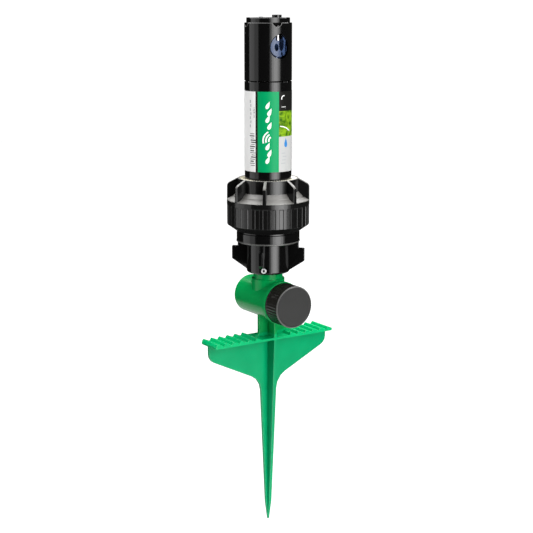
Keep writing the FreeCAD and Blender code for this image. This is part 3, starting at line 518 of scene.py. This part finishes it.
def paint_cad_nodes():
    """Every CAD node gets its slot's material; most are inner pieces that stay as they are."""
    for node, part in frame["nodes"].items():
        part.data.materials.clear()
        part.data.materials.append(MATERIALS[SLOTS[node]])


def disc_shell(radius, low, high, round_by=0.2):
    """A round plug about Z, which the pieces are joined from or cut with."""
    return lathe([(0, low), (radius, low), (radius, high), (0, high)], round_by)


def along_y(shell, height):
    """Lay a shell turned about Z along -Y, at a height: its heights become distances towards -Y."""
    return turned(shell, 90, "X", (0, 0, height))


# ---- stake -------------------------------------------------------------------------------------

WEB_THICK = 2.6
EASE = 0.35
POINT_TOP = -139.0
PLATE_HALF, PLATE_THICK = 11.0, 2.0
BARREL_HEIGHT = 31.7
BARREL_BORE, BARREL_RADIUS = 9.5, 13.45
TREAD_PITCH = 7.2
TREADS_A_SIDE = 6
HOSE_PITCH = 2.2
CAP_RIBS = 44


def mirrored(half):
    """The whole outline of a shape whose right half is given from top to bottom."""
    return half + [(-p[0], *p[1:]) for p in reversed(half)]


def spike_taper(x, z):
    """Half the thickness of the spike's ribs, which thin out towards the tip."""
    thin_from, thin_over, thinned = -130, 24, 0.55
    return WEB_THICK / 2 - thinned * max(0.0, min(1.0, (thin_from - z) / thin_over))


def barrel_bore():
    """A cutter that keeps the barrel's bore clear of what joins it."""
    return along_y(disc_shell(BARREL_BORE - 0.05, -60, 60, 0), BARREL_HEIGHT)


def stake_shells():
    """Spike, web, foot plate with its treads, and the neck up to the barrel."""
    low = span("ground_spike")[0]
    tip, length = low.z, -low.x
    web = mirrored([(length, 1, 0), (length, -11.2, 8), (7.7, -34.2, 15), (2.75, POINT_TOP, 6),
                    (0.7, tip, 0.3)])
    rib = mirrored([(PLATE_HALF, 1, 0), (7.0, -87, 30), (3.2, POINT_TOP, 6), (0.7, tip, 0.3)])
    shells = [prism(rounded(web, 0), WEB_THICK, EASE, spike_taper),
              turned(prism(rounded(rib, 0), WEB_THICK, EASE, spike_taper), 90)]
    corners = [(length, PLATE_HALF), (-length, PLATE_HALF), (-length, -PLATE_HALF), (length, -PLATE_HALF)]
    shells.append(turned(prism(rounded(corners, 1.2), PLATE_THICK, 0.3), 90, "X", (0, 0, PLATE_THICK / 2)))
    tooth = rounded([(0, 1.5, 0), (0, 2.2, 0.3), (1.36, 4.1, 0.7), (6.5, 1.9, 1.5), (6.5, 1.5, 0)], 0)
    for first in (-length + 0.5, 13.4):
        for number in range(TREADS_A_SIDE):
            shells.append(turned(prism(tooth, 2 * PLATE_HALF, 0.45), 0, "Z",
                                 (first + number * TREAD_PITCH, 0, 0)))
    # The neck stands a little to one side and flares out further there.
    flared = [(12.0, 34.5, 0), (12.0, 1.95, 13), (44.5, 1.95, 0), (44.5, 1.2, 0),
              (-20, 1.2, 0), (-20, 1.95, 0), (-9.4, 1.95, 4), (-9.4, 34.5, 0)]
    shells.append(carved(prism(rounded(flared, 0), WEB_THICK, EASE), (barrel_bore(),)))
    cross = [(PLATE_HALF, 20), (PLATE_HALF, 1.2), (-PLATE_HALF, 1.2), (-PLATE_HALF, 20)]
    shells.append(turned(prism(cross, WEB_THICK, EASE), 90))
    return shells


def threaded(minor, major, low, high, pitch):
    """A shape function that cuts a helical thread into the wall between two heights."""
    def shape(radius, height, angle):
        if not (low < height < high and minor - 0.1 < radius < major + 0.1):
            return radius, height
        phase = (height / pitch - angle / math.tau) % 1.0
        wave = abs(phase - 0.5) * 2
        fade = min(1.0, (height - low) / pitch, (high - height) / pitch)
        return major - (major - minor) * fade * max(0.0, min(1.0, (wave - 0.25) / 0.4)), height
    return shape


def barrel_shells():
    """The hose barrel with its inlet thread and flange, and the post that the base sits on."""
    rear, inlet, seat, front = -26.3, -14.3, -11.9, 32.6
    crest, root, washer = 12.8, 13.6, 13.9
    flange, flange_rear, flange_front, inlet_radius = 17.0, 16.5, 20.5, 15.1
    steps = 40
    wall = [(root, rear + (inlet - rear) * step / steps, 0) for step in range(1, steps)]
    outline = [(BARREL_BORE, front), (BARREL_RADIUS, front), (BARREL_RADIUS, flange_front),
               (flange, flange_front), (flange, flange_rear), (inlet_radius, flange_rear, 0.6),
               (inlet_radius, rear), (root, rear)] + wall
    outline += [(root, inlet, 0.1), (washer, inlet, 0.1), (washer, seat, 0.1), (BARREL_BORE, seat)]
    barrel = lathe(outline, shape=threaded(crest, root, rear + 0.8, inlet - 0.3, HOSE_PITCH))
    bore, shoulder, collar, post_radius, post_top = 7, 49.0, 13.0, 11.5, 65.6
    post = lathe([(bore, 33), (collar, 33, 0), (collar, shoulder), (post_radius, shoulder, 0.5),
                  (post_radius, post_top, 0.5), (bore, post_top)])
    way = disc_shell(bore - 0.1, BARREL_HEIGHT, 72, 0)
    return [carved(along_y(barrel, BARREL_HEIGHT), (way,)), carved(post, (barrel_bore(),))]


def build_stake():
    """The one green moulding, from the spike's tip to the post."""
    make_piece("stake_moulding", "ground_spike", stake_shells() + barrel_shells(), crease=28)


def build_outlet_cap():
    """A flat-faced hose cap with a ribbed skirt; the skirt is glossier than the face."""
    low, high = span("outlet_cap")
    front, rear, radius = -low.y, -high.y, high.x

    def ribbed(r, height, angle):
        if r < radius - 0.2 or height > front - 1.5 or height < rear + 1.0:
            return r, height
        return r - 0.16 * (1 + math.cos(CAP_RIBS * angle)), height

    rows = [(radius, height, 0) for height in (rear + 0.9, rear + 1.3, front - 1.8, front - 1.4)]
    outline = [(0, front - 2.4), (13.53, front - 2.4), (13.53, rear), (radius, rear)] + rows + [
        (radius, front - 0.75, 0.15), (radius - 0.75, front, 0.15), (radius - 1.5, front, 0.2),
        (radius - 1.9, front - 0.25, 0.2), (0, front - 0.25)]
    angles = [math.tau * step / (CAP_RIBS * 8) for step in range(CAP_RIBS * 8)]
    piece = new_object("outlet_cap_moulding", along_y(lathe(outline, 0.3, angles, ribbed), BARREL_HEIGHT))
    piece.data.materials.append(MATERIALS["cap_black"])

    def away(face):
        """How far a face is from the barrel's axis, in millimetres."""
        return math.hypot(face.center.x, face.center.z - BARREL_HEIGHT * MM) / MM

    repaint(piece, CAP_SKIRT, lambda face: face.normal.y >= -0.5 or away(face) >= radius - 0.9)
    # Painted highlight: the front face's chamfer gets a lighter grey.
    repaint(piece, PAINTED_EDGE_HIGHLIGHT, lambda face: face.normal.y < -0.3 and away(face) > radius - 1.0
            and face.center.y < (low.y + 0.76) * MM)
    finish_mesh(piece, 40)
    settle(piece, "outlet_cap")


# ---- base housing ------------------------------------------------------------------------------

BASE_TURN = -45.4
SCREW_HEIGHT, SCREW_SEAT, SINK_RADIUS = 57.2, 12.3, 2.75
CLAMP_PITCH = 4.0


def about_screw(place):
    """How far a point lies out along the set screw's axis and how far from it, in millimetres."""
    heading = math.radians(BASE_TURN - 90)
    along = Vector((math.cos(heading), math.sin(heading), 0))
    arm = place / MM - Vector((0, 0, SCREW_HEIGHT))
    out = arm.dot(along)
    return out, (arm - out * along).length


def build_base():
    """A stepped cup with a lipped band, a thread for the clamp cap and four wrench wings."""
    hub, low, sleeve, top, socket = 17.0, 54.0, 23.9, 107.2, 11.6
    outline = [(socket, low), (hub, low, 1.6), (hub, 78.6, 0.3), (24.6, 78.6, 0.2), (25.0, 79.0, 0.15),
               (25.0, 79.5, 0.15), (24.75, 79.8, 0.15), (24.75, 86.0, 0.3), (24.4, 86.4, 0.2), (sleeve, 86.4)]
    outline += [(sleeve, 87.4 + 0.25 * step, 0) for step in range(75)]
    outline += [(sleeve, top), (20.2, top), (20.2, 84.0), (14.6, 82.0), (14.6, 68.0), (9.0, 68.0),
                (9.0, 66.5), (socket, 66.5)]
    reach, wing_top = 29.05, 73.8
    wing = rounded([(16.2, 55.1, 0), (reach, 63.5, 0.6), (reach, wing_top, 0.6), (24.4, wing_top, 0.5),
                    (24.4, 79, 0), (16.2, 79, 0)], 0)
    sink = turned(along_y(disc_shell(SINK_RADIUS, SCREW_SEAT, 34, 0), SCREW_HEIGHT), BASE_TURN)
    wing_sink = turned(along_y(disc_shell(4.2, SCREW_SEAT, 34, 0), SCREW_HEIGHT - 0.4), BASE_TURN)
    thread = threaded(sleeve - 0.7, sleeve, 87.6, top - 1.4, CLAMP_PITCH)
    shells = [carved(lathe(outline, shape=thread), (sink,))]
    for quarter in range(4):
        shells.append(carved(turned(prism(wing, 3.0, 0.3), BASE_TURN + 90 * quarter), (wing_sink.copy(),)))
    base = make_piece("base_housing_moulding", "base_housing", shells, crease=30, round_about_z=True)

    def in_recess(face):
        out, away = about_screw(face.center)
        return 12 < out < 16.7 and away < SINK_RADIUS + 0.01

    # Painted shade inside the set screw's recess.
    repaint(base, PAINTED_SHADE_BLACK, in_recess)
    # Painted highlight on the band's lower lip, which reflects the floor.
    repaint(base, PAINTED_EDGE_HIGHLIGHT, lambda face: 78.7 * MM < face.center.z < 79.9 * MM
            and math.hypot(face.center.x, face.center.y) > 24.6 * MM)


def build_set_screw():
    """A socket screw whose hexagon is turned into the lathe's inner wall."""
    socket = 1.05

    def hexagon(radius, height, angle):
        if radius > socket + 0.2 or radius < 0.1:
            return radius, height
        from_flat = (angle + math.pi / 6) % (math.pi / 3) - math.pi / 6
        return radius * math.cos(math.pi / 6) / math.cos(from_flat), height

    outline = [(0, SCREW_SEAT), (1.7, SCREW_SEAT), (1.7, 15.6), (2.1, 15.8), (2.1, 16.6, 0.5),
               (socket, 16.6, 0.3), (socket, 15.2), (0, 15.2)]
    screw = turned(along_y(lathe(outline, 0.1, shape=hexagon), SCREW_HEIGHT), BASE_TURN)
    piece = make_piece("set_screw_steel", "base_set_screw", [screw], ZINC)

    def in_socket(face):
        out, away = about_screw(face.center)
        return 15 < out < 16.3 and away < socket + 0.1

    # Painted shade inside the hexagon socket.
    repaint(piece, PAINTED_SHADE_BLACK, in_socket)


# ---- clamp cap ---------------------------------------------------------------------------------

CLAMP_TURN, CLAMP_RADIUS = 6.6, 32.28
RIBS, RIB_TURN, RIB_WIDTH = 32, -4.55, 2.9
GRIP_FLOOR, GRIP_LOW, GRIP_HIGH = 31.7, 91.9, 107.4
FINS = 8


def rib_angles():
    """Columns that follow each rib's flanks, top and the floor beside it."""
    half = RIB_WIDTH / 2 / GRIP_FLOOR
    pitch = math.tau / RIBS
    edge = [step / GRIP_FLOOR for step in (-0.45, -0.2, 0.0, 0.12, 0.3, 0.5)]
    near = [-half - step for step in reversed(edge)] + [0] + [half + step for step in edge] + [pitch / 2]
    start = math.radians(CLAMP_TURN + RIB_TURN)
    return [start + pitch * number + step for number in range(RIBS) for step in near]


def rib_shape(radius, height, angle):
    """Raise the grip's wall into ribs with rounded flanks."""
    if not (GRIP_LOW < height < GRIP_HIGH + 0.1 and 31.2 < radius < 32.1):
        return radius, height
    pitch = math.tau / RIBS
    start = math.radians(CLAMP_TURN + RIB_TURN)
    aside = abs((angle - start + pitch / 2) % pitch - pitch / 2)
    beyond = aside * GRIP_FLOOR - RIB_WIDTH / 2
    rise = 0.45 - 0.06 * max(0.0, min(1.0, (beyond + 0.2) / 0.2)) - 0.39 * max(0.0, min(1.0, beyond / 0.3))
    return radius + rise, height


def fin_half_thick(x, z):
    """Half a fin's thickness: thin at its top, thick at its foot."""
    share = max(0.0, min(1.0, (z - 111) / 17))
    return 1.6 - 0.5 * share


def build_clamp():
    """The clamp cap: a ribbed grip, a sloping shoulder and a collar braced by eight fins."""
    lip, skirt_top, shoulder = 87.5, 92.6, 111
    outline = [(24.0, lip, 0.2), (24.9, lip, 0.2), (GRIP_FLOOR, skirt_top, 0.35), (GRIP_FLOOR, 95, 0),
               (GRIP_FLOOR, 104, 0), (GRIP_FLOOR, GRIP_HIGH, 0.1), (CLAMP_RADIUS, GRIP_HIGH + 0.6, 0.2),
               (CLAMP_RADIUS, 112.0, 0.8), (27.2, 114.5, 0.15), (27.0, 115.05, 0.15), (24.1, 117.9, 0.3),
               (23.7, 118.2, 0.3), (23.7, 128.6, 0.3), (22.45, 128.6, 0.2), (22.45, 121.9), (19.2, 121.9),
               (19.2, 118.2), (20.8, 118.2), (20.8, 111.3), (24.0, 111.3)]
    fin = rounded([(23.0, 113.5, 0), (31.0, 110.6, 0), (CLAMP_RADIUS, 111.4, 0.8), (32.2, 124.0, 3.4),
                   (23.0, 128.9, 0)], 0)
    shells = [lathe(outline, 0.25, rib_angles(), rib_shape)]
    for number in range(FINS):
        shells.append(turned(prism(fin, 3.2, 0.4, fin_half_thick), CLAMP_TURN + 360 / FINS * number))
    clamp = make_piece("clamp_cap_moulding", "clamp_cap", shells, SATIN_BLACK, crease=40)

    def facing_down(face, low, high):
        return face.normal.z < -0.3 and low * MM < face.center.z < high * MM

    # Painted top light on the upward faces above the shoulder and on the fins' tops.
    repaint(clamp, PAINTED_TOP_LIGHT, lambda face: face.normal.z > 0.3 and face.center.z > shoulder * MM)
    # Painted shade under the cone below the grip.
    repaint(clamp, PAINTED_SHADE_BLACK, lambda face: facing_down(face, lip + 0.5, skirt_top))
    # Painted highlight on the underside of the clamp cap's lip.
    repaint(clamp, PAINTED_EDGE_HIGHLIGHT, lambda face: facing_down(face, 0, lip + 0.5))


def build_ratchet():
    """A ring with saw teeth round its top."""
    low, high = span("ratchet_ring")
    teeth, depth = 60, 0.9
    pitch = math.tau / teeth

    def saw(radius, height, angle):
        if height < high.z - 0.3:
            return radius, height
        share = (angle / pitch) % 1.0
        return radius, height - depth * max(0.0, 1.0 - share / 0.9)

    angles = [pitch * (number + share) for number in range(teeth) for share in (0.001, 0.3, 0.6, 0.9, 0.995)]
    outline = [(18.75, low.z), (high.x, low.z), (high.x, high.z), (18.75, high.z)]
    make_piece("ratchet_teeth", "ratchet_ring", [lathe(outline, 0.15, angles, saw)], crease=25)


def build_bypass_spring():
    """A coil spring with closed ends, drawn at one length; the real one shortens against its upper end as the
    valve lifts.
    """
    low, high = span("bypass_spring")
    coils, wire, sides, per_turn = 6.0, 0.3, 12, 24
    steps = round(coils * per_turn)
    closed, flat = 1 / coils, 0.75 / coils
    bm = bmesh.new()
    rings = []
    for step in range(steps + 1):
        share = step / steps
        angle = math.tau * coils * share
        risen = max(0.0, min(1.0, (share - flat) / (1 - 2 * flat)))
        seat = 0.03 + 0.12 * min(1.0, share / closed, (1 - share) / closed)
        height = low.z + wire + seat + (high.z - low.z - 2 * wire - 2 * seat) * risen
        out = Vector((math.cos(angle), math.sin(angle), 0))
        middle = out * (high.x - wire) + Vector((0, 0, height))
        ring = [middle + (out * math.cos(turn) + Vector((0, 0, math.sin(turn)))) * wire
                for turn in (math.tau * side / sides for side in range(sides))]
        rings.append([bm.verts.new(point) for point in ring])
    for near, far in zip(rings, rings[1:]):
        for side in range(sides):
            after = (side + 1) % sides
            bm.faces.new((near[side], near[after], far[after], far[side]))
    bm.faces.new(rings[0])
    bm.faces.new(rings[-1])
    bmesh.ops.recalc_face_normals(bm, faces=bm.faces)
    spring = make_piece("bypass_coil_spring", "bypass_spring", [bm], crease=50)
    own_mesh(spring)


# ---- riser and label ---------------------------------------------------------------------------

RISER_INNER, RISER_RADIUS = 16.4, 18.2


def build_riser():
    """A plain tube with a flange that the clamp cap holds down."""
    low, high = span("riser_tube")
    outline = [(RISER_INNER, low.z), (RISER_RADIUS, low.z), (RISER_RADIUS, 108.2), (22.0, 108.2),
               (22.0, 111.0), (RISER_RADIUS, 111.0), (RISER_RADIUS, high.z, 0.4), (RISER_INNER, high.z)]
    make_piece("riser_moulding", "riser_tube", [lathe(outline)], round_about_z=True)


# The label's areas are given by angles in degrees about Z and by heights; label_zone picks the print.
LABEL_PRINTS = (MATERIALS["label_print"], PRINT_GREEN, PRINT_BLACK, PRINT_LAWN, PRINT_PALE)
LABEL_LOW, LABEL_HIGH, LABEL_RADIUS = 134.9, 196.2, 18.36
GREEN_FROM, GREEN_TO, DARK_FROM = -149.1, -96.6, -154.9
PICTURE_TO, PALE_TO = -22.0, 105.0
PICTURE_LOW, PICTURE_HIGH = 162.0, 181.4


def label_zone(angle, height):
    """Which of the label's prints covers it at an angle and a height."""
    if DARK_FROM < angle < GREEN_FROM:
        return 2
    if GREEN_FROM < angle < GREEN_TO:
        return 1
    if GREEN_TO < angle < PICTURE_TO and height > PICTURE_LOW:
        return 3 if height < PICTURE_HIGH else 2
    return 4 if GREEN_TO < angle < PALE_TO else 0


def build_label():
    """The wrap label: a thin skin whose columns and rows follow the edges of its printed areas."""
    edges = [DARK_FROM, GREEN_FROM, GREEN_TO, PICTURE_TO, PALE_TO, DARK_FROM + 360]
    angles = []
    for start, end in zip(edges, edges[1:]):
        steps = max(2, round((end - start) / 2.5))
        angles += [math.radians(start + (end - start) * step / steps) for step in range(steps)]
    rows = [(LABEL_RADIUS, height, 0) for height in (135.1, 148, PICTURE_LOW, 172, PICTURE_HIGH, 196.0)]
    outline = [(18.21, LABEL_LOW, 0), (LABEL_RADIUS, LABEL_LOW, 0)] + rows + [
        (LABEL_RADIUS, LABEL_HIGH, 0), (18.21, LABEL_HIGH, 0)]
    piece = new_object("riser_label_print", lathe(outline, 0, angles))
    for material in LABEL_PRINTS:
        piece.data.materials.append(material)
    for face in piece.data.polygons:
        angle = math.degrees(math.atan2(face.center.y, face.center.x))
        face.material_index = label_zone(angle, face.center.z / MM)
    finish_mesh(piece, 30, round_about_z=True)
    settle(piece, "riser_label")
    print_label_marks()


MARK_LIFT, MARK_THICK = 0.015, 0.03


def cut_in_strips(outlines):
    """Flat shapes, drawn as (degrees, height), cut into strips narrow enough to bend round the label."""
    strip, off_corners = 3, 0.013
    flat = bmesh.new()
    for outline in outlines:
        flat.faces.new([flat.verts.new((p[0], 0, p[1])) for p in outline])
    low = min(vert.co.x for vert in flat.verts)
    high = max(vert.co.x for vert in flat.verts)
    cut_at = math.floor(low / strip) * strip + strip
    while cut_at < high:
        bmesh.ops.bisect_plane(flat, geom=flat.verts[:] + flat.edges[:] + flat.faces[:],
                               plane_co=(cut_at + off_corners, 0, 0), plane_no=(1, 0, 0))
        cut_at += strip
    bmesh.ops.triangulate(flat, faces=[face for face in flat.faces if len(face.verts) > 4])
    bmesh.ops.recalc_face_normals(flat, faces=flat.faces)
    return flat


def wrapped(outlines):
    """Thin closed shapes laid round the label; an outline is of (degrees, height)."""
    flat = cut_in_strips(outlines)
    inner = {vert: vert.co.copy() for vert in flat.verts}
    border = [edge for edge in flat.edges if edge.is_boundary]
    faces = flat.faces[:]
    outer = {}
    base = LABEL_RADIUS + MARK_LIFT
    for vert, place in inner.items():
        angle = math.radians(place.x)
        out = Vector((math.cos(angle), math.sin(angle), 0))
        up = Vector((0, 0, place.z))
        outer[vert] = flat.verts.new(out * (base + MARK_THICK) + up)
        vert.co = out * base + up
    for face in faces:
        flat.faces.new([outer[vert] for vert in face.verts])
    for edge in border:
        a, b = edge.verts
        flat.faces.new((a, b, outer[b], outer[a]))
    bmesh.ops.recalc_face_normals(flat, faces=flat.faces)
    return flat


def print_mark(name, outlines, material):
    """One colour's marks, as a piece that rides on the riser with the label."""
    make_piece(name, "riser_label", [wrapped(outlines)], material, round_about_z=True, stands_for=False)


def drop(angle, height, size, lean):
    """The outline of a leaning water drop."""
    points = []
    for step in range(28):
        turn = math.tau * step / 28
        across = 0.62 * math.sin(turn) * math.sin(turn / 2) ** 1.4
        along = math.cos(turn)
        x = size * (across * math.cos(lean) + along * math.sin(lean))
        z = size * (along * math.cos(lean) - across * math.sin(lean))
        points.append((angle + math.degrees(x / LABEL_RADIUS), height + z))
    return points


def bar(angle, height, wide, tall):
    """A bar, wide round the label and tall along it, in degrees and millimetres."""
    return [(angle - wide / 2, height - tall / 2), (angle + wide / 2, height - tall / 2),
            (angle + wide / 2, height + tall / 2), (angle - wide / 2, height + tall / 2)]


def spray(angle, height, reach, thick, start, end):
    """A curved jet: part of a ring about a point."""
    steps = 16
    turns = [math.radians(start + (end - start) * step / steps) for step in range(steps + 1)]
    outer = [(reach + thick / 2, turn) for turn in turns]
    inner = [(reach - thick / 2, turn) for turn in reversed(turns)]
    return [(angle + math.degrees(r * math.cos(turn) / LABEL_RADIUS), height + r * math.sin(turn))
            for r, turn in outer + inner]


def print_label_marks():
    """Generic marks in the places of the label's print: drops and a fan, bars, fine lines and a picture."""
    middle = -121.5
    drops = [drop(middle + (2.2 if number % 2 else -2.2), 144.5 + 5.2 * number, 3.1, math.radians(24))
             for number in range(9) if number not in (3, 4)]
    fan = [spray(middle + 9, 159.2, reach, 1.1, 118, 196) for reach in (3.0, 5.2, 7.4)]
    print_mark("label_drops", drops + fan, PRINT_WHITE)
    codes = [bar(-163.5 - 2 * math.sin(number), 139.8 + 1.62 * number, 13 + 3 * math.sin(2.3 * number),
                 0.45 + 0.35 * (math.sin(3.7 * number) > 0)) for number in range(16)]
    ticks = [bar(-158.8, 177 + 1.15 * number, 2.6 + math.sin(5 * number), 0.55) for number in range(7)]
    print_mark("label_bars", codes + ticks, PRINT_BLACK)
    faint = [bar(-171 + 2 * (number % 2), 170 + 3.1 * number, 2.2, 2.2) for number in range(7)]
    lines = [bar(-84 + 2.0 * (number % 3), 141.5 + 2.6 * number, 13 - 2 * (number % 2), 0.6)
             for number in range(4)]
    print_mark("label_lines", faint + lines, PRINT_GREY)
    print_mark("label_blue_drop", [drop(-76, 157.3, 3.6, 0)], PRINT_BLUE)
    jets = [spray(-97.5, 152.5, 17.5, 0.7, 50, 86), spray(-83, 191.0, 2.0, 0.8, 70, 205)]
    dashes = [bar(-88 + 4.4 * number, 184.6, 2.2, 0.7) for number in range(3)]
    print_mark("label_jets", jets + dashes, PRINT_WHITE)
    back = [drop(58 + 16 * (number % 2), 146 + 7.5 * number, 3.4, math.radians(20)) for number in range(6)]
    print_mark("label_back_drops", back, PRINT_GREEN)


# ---- turret ------------------------------------------------------------------------------------

TURRET_TURN = -3.3
NOTCH_TURN = TURRET_TURN - 8
NOZZLE_HEIGHT, NOZZLE_RISE, NOZZLE_FRONT = 220.5, 27.0, 15.4
SCREW_ORBIT, KEY_ORBIT = 14.2, 11.1


def on_turret(shell):
    """Turn a shell drawn with the nozzle straight along -Y to where the turret points."""
    return turned(shell, TURRET_TURN)


def over(shell, x, y):
    """Move a shell sideways to stand over a point."""
    return turned(shell, 0, "Z", (x, y, 0))


def at_nozzle(shell, aside=0.0, above=0.0):
    """Lay a shell drawn along Z on the nozzle's axis, moved right and up in the nozzle's face."""
    shell.transform(Matrix.Translation((aside, above, 0)))
    return on_turret(turned(shell, 90 - NOZZLE_RISE, "X", (0, 0, NOZZLE_HEIGHT)))


def oval_shell(half_wide, half_tall, low, high, lean=0.0):
    """An upright oval column, leaned in its own plane."""
    shell = disc_shell(1.0, low, high, 0)
    stretch = Matrix.Diagonal((half_wide, half_tall, 1, 1))
    shell.transform(Matrix.Rotation(math.radians(lean), 4, "Z") @ stretch)
    return shell


def block_shell(x, y, z):
    """A plain block between pairs of limits, to be cut or to cut with."""
    outline = [(x[0], z[0]), (x[1], z[0]), (x[1], z[1]), (x[0], z[1])]
    return over(prism(outline, y[1] - y[0], 0), 0, (y[0] + y[1]) / 2)


def build_turret():
    """A closed-off tube with the nozzle's slanting socket, the radius screw's pillar and rim notches."""
    low, high = span("turret_housing")
    radius, inner, way, floor_low, floor_high = 18.27, 16.2, 5.7, 209.2, 212.0
    body = lathe([(inner, low.z), (radius, low.z, 0.35), (radius, high.z, 0.4), (inner, high.z),
                  (inner, floor_high), (way, floor_high), (way, floor_low), (inner, floor_low)])
    tower = disc_shell(9.0, floor_high - 0.5, 226.5)
    boss = at_nozzle(disc_shell(10.2, 1.0, NOZZLE_FRONT - 1, 0))
    pillar = on_turret(block_shell((-3.1, 3.1), (-17.2, -11.1), (229.5, 245.4)))
    socket = at_nozzle(disc_shell(8.05, 2.0, 34, 0))
    tower_way = disc_shell(way, 208, 223, 0)
    screw_way = on_turret(over(disc_shell(2.3, 226, 246, 0), 0, -SCREW_ORBIT))
    slot = on_turret(block_shell((-1.9, 2.3), (-22, -SCREW_ORBIT), (228, 237.6)))
    slot_top = on_turret(along_y(disc_shell(1.9, SCREW_ORBIT, 22, 0), 237.6))
    key_way = on_turret(over(disc_shell(1.7, 208, 246, 0), 0, KEY_ORBIT))
    notches = [turned(along_y(disc_shell(3.6, 14, 22, 0), high.z + 0.6), NOTCH_TURN + 90 * quarter)
               for quarter in range(4)]
    body = fused(body, [tower, boss, pillar])
    body = carved(body, [socket, tower_way, screw_way, slot, slot_top, key_way] + notches)
    make_piece("turret_moulding", "turret_housing", [body], round_about_z=True)
    build_rim_notch_highlights(high.z + 0.6)


def arc_band(inner, outer, start, sweep, steps):
    """The outline of part of a flat ring, between two angles in degrees."""
    turns = [math.radians(start + sweep * step / steps) for step in range(steps + 1)]
    return ([(inner * math.cos(turn), inner * math.sin(turn)) for turn in turns]
            + [(outer * math.cos(turn), outer * math.sin(turn)) for turn in reversed(turns)])


def build_rim_notch_highlights(height):
    """A painted highlight round the underside of each notch in the turret's rim, as a thin bead bent to the
    turret's wall.
    """
    for quarter in range(4):
        bead = turned(prism(arc_band(3.65, 4.05, 190, 160, 24), 0.4, 0.1), 0, "Z", (0, -18.25, height))
        for vert in bead.verts:
            vert.co.y = -math.sqrt(vert.co.y ** 2 - vert.co.x ** 2)
        turned(bead, NOTCH_TURN + 90 * quarter)
        # Each bead is a painted highlight: a lighter grey along the notch's lower edge.
        make_piece(f"rim_notch_highlight_{quarter}", "turret_housing", [bead], PAINTED_EDGE_HIGHLIGHT, stands_for=False)


def build_cover():
    """A disc with arrows and ticks, and a boss round the radius screw."""
    low, high = span("top_cover")
    rim_low, top, neck, rim = 247.4, 251.2, 16.1, 16.7
    cap = lathe([(0, low.z), (neck, low.z), (neck, rim_low), (rim, rim_low), (rim, top, 0.5),
                 (15.4, top, 0.2), (15.1, top - 0.4, 0.2), (0, top - 0.4)])
    boss = over(disc_shell(3.6, top - 1, high.z, 0.35), 0, -SCREW_ORBIT + 1.2)
    marks = []
    for start in (-75, 105):
        marks.append(along_y(prism(arc_band(10.6, 11.6, start, 150, 30), 0.5, 0.08), top - 0.35))
    at_key, at_boss = 4, 12
    for number in range(16):
        if number in (at_key, at_boss):
            continue
        tick = prism([(12.6, -0.35), (14.4, -0.35), (14.4, 0.35), (12.6, 0.35)], 0.5, 0.08)
        marks.append(turned(along_y(tick, top - 0.35), 22.5 * number))
    screw_hole = over(disc_shell(1.8, 240, 256, 0), 0, -SCREW_ORBIT)
    key_hole = over(disc_shell(1.75, 240, 256, 0), 0, KEY_ORBIT)
    cap = carved(cap, (screw_hole.copy(), key_hole))
    boss = carved(boss, (screw_hole,))
    cover = make_piece("top_cover_moulding", "top_cover", [on_turret(joined([cap, boss] + marks))])
    # Painted shade on the plug below the rim, which shows in the rim's notches.
    repaint(cover, PAINTED_SHADE_BLACK, lambda face: face.center.z < (rim_low + 0.1) * MM)


def build_nozzle():
    """A disc with two bores and a curved blade, set a little high in its socket and held by a tab below.

    Its front follows the turret's wall, so the disc is drawn long and trimmed round the turret's axis."""
    lift, face_radius = 0.7, 17.2
    body = at_nozzle(disc_shell(7.0, 6.5, 25), 0, lift)
    bores = (at_nozzle(oval_shell(2.2, 4.6, 11.5, 28, -3), 1.7, 2.2),
             at_nozzle(oval_shell(1.6, 2.5, 12.5, 28, 8), -2.5, 0.1))
    groove = at_nozzle(oval_shell(0.8, 4.7, 15.6, 28, -5), 6.0, 1.2)
    low_slot = at_nozzle(oval_shell(0.8, 1.8, 13.5, 28, 10), 2.1, -4.6)
    screw_gap = at_nozzle(block_shell((-3.0, 2.9), (4.5, 9), (11.5, 28)))
    screw_tip = span("radius_screw")[0].z
    screw_path = on_turret(over(disc_shell(1.8, screw_tip - 2.9, 250, 0), 0, -SCREW_ORBIT))
    outside = lathe([(face_radius, 200), (40, 200), (40, 250), (face_radius, 250)], 0)
    tab = at_nozzle(block_shell((-3.0, -1.7), (-8.3, -6.2), (10, 25)))
    body = carved(body, (outside.copy(),) + bores + (groove, low_slot, screw_gap, screw_path))
    make_piece("nozzle_insert", "nozzle", [body, carved(tab, (outside,))])


def build_radius_screw():
    """A threaded steel rod with a driver slot in its top."""
    low, high = span("radius_screw")
    radius, pitch, rise = 1.5, 0.7, 0.14
    rows = [(radius, low.z + 2 + rise * step, 0) for step in range(int((high.z - low.z - 5) / rise))]
    outline = [(0, low.z), (1.35, low.z, 0.25), (radius, low.z + 0.6, 0.1)] + rows
    outline += [(radius, high.z, 0.15), (0, high.z)]
    screw = lathe(outline, 0, [math.tau * step / 32 for step in range(32)],
                  threaded(1.38, radius, low.z + 2, high.z - 3, pitch))
    slot = block_shell((-2, 2), (-0.25, 0.25), (high.z - 1.2, high.z + 1))
    screw = carved(on_turret(over(screw, 0, -SCREW_ORBIT)), (on_turret(over(slot, 0, -SCREW_ORBIT)),))
    make_piece("radius_screw_steel", "radius_screw", [screw])


add_world()
add_camera()
add_lights()
add_floor()
paint_cad_nodes()
build_stake()
build_outlet_cap()
build_base()
build_set_screw()
build_clamp()
build_ratchet()
build_bypass_spring()
build_riser()
build_label()
build_turret()
build_cover()
build_nozzle()
build_radius_screw()

bpy.context.scene.view_settings.view_transform = "Standard"
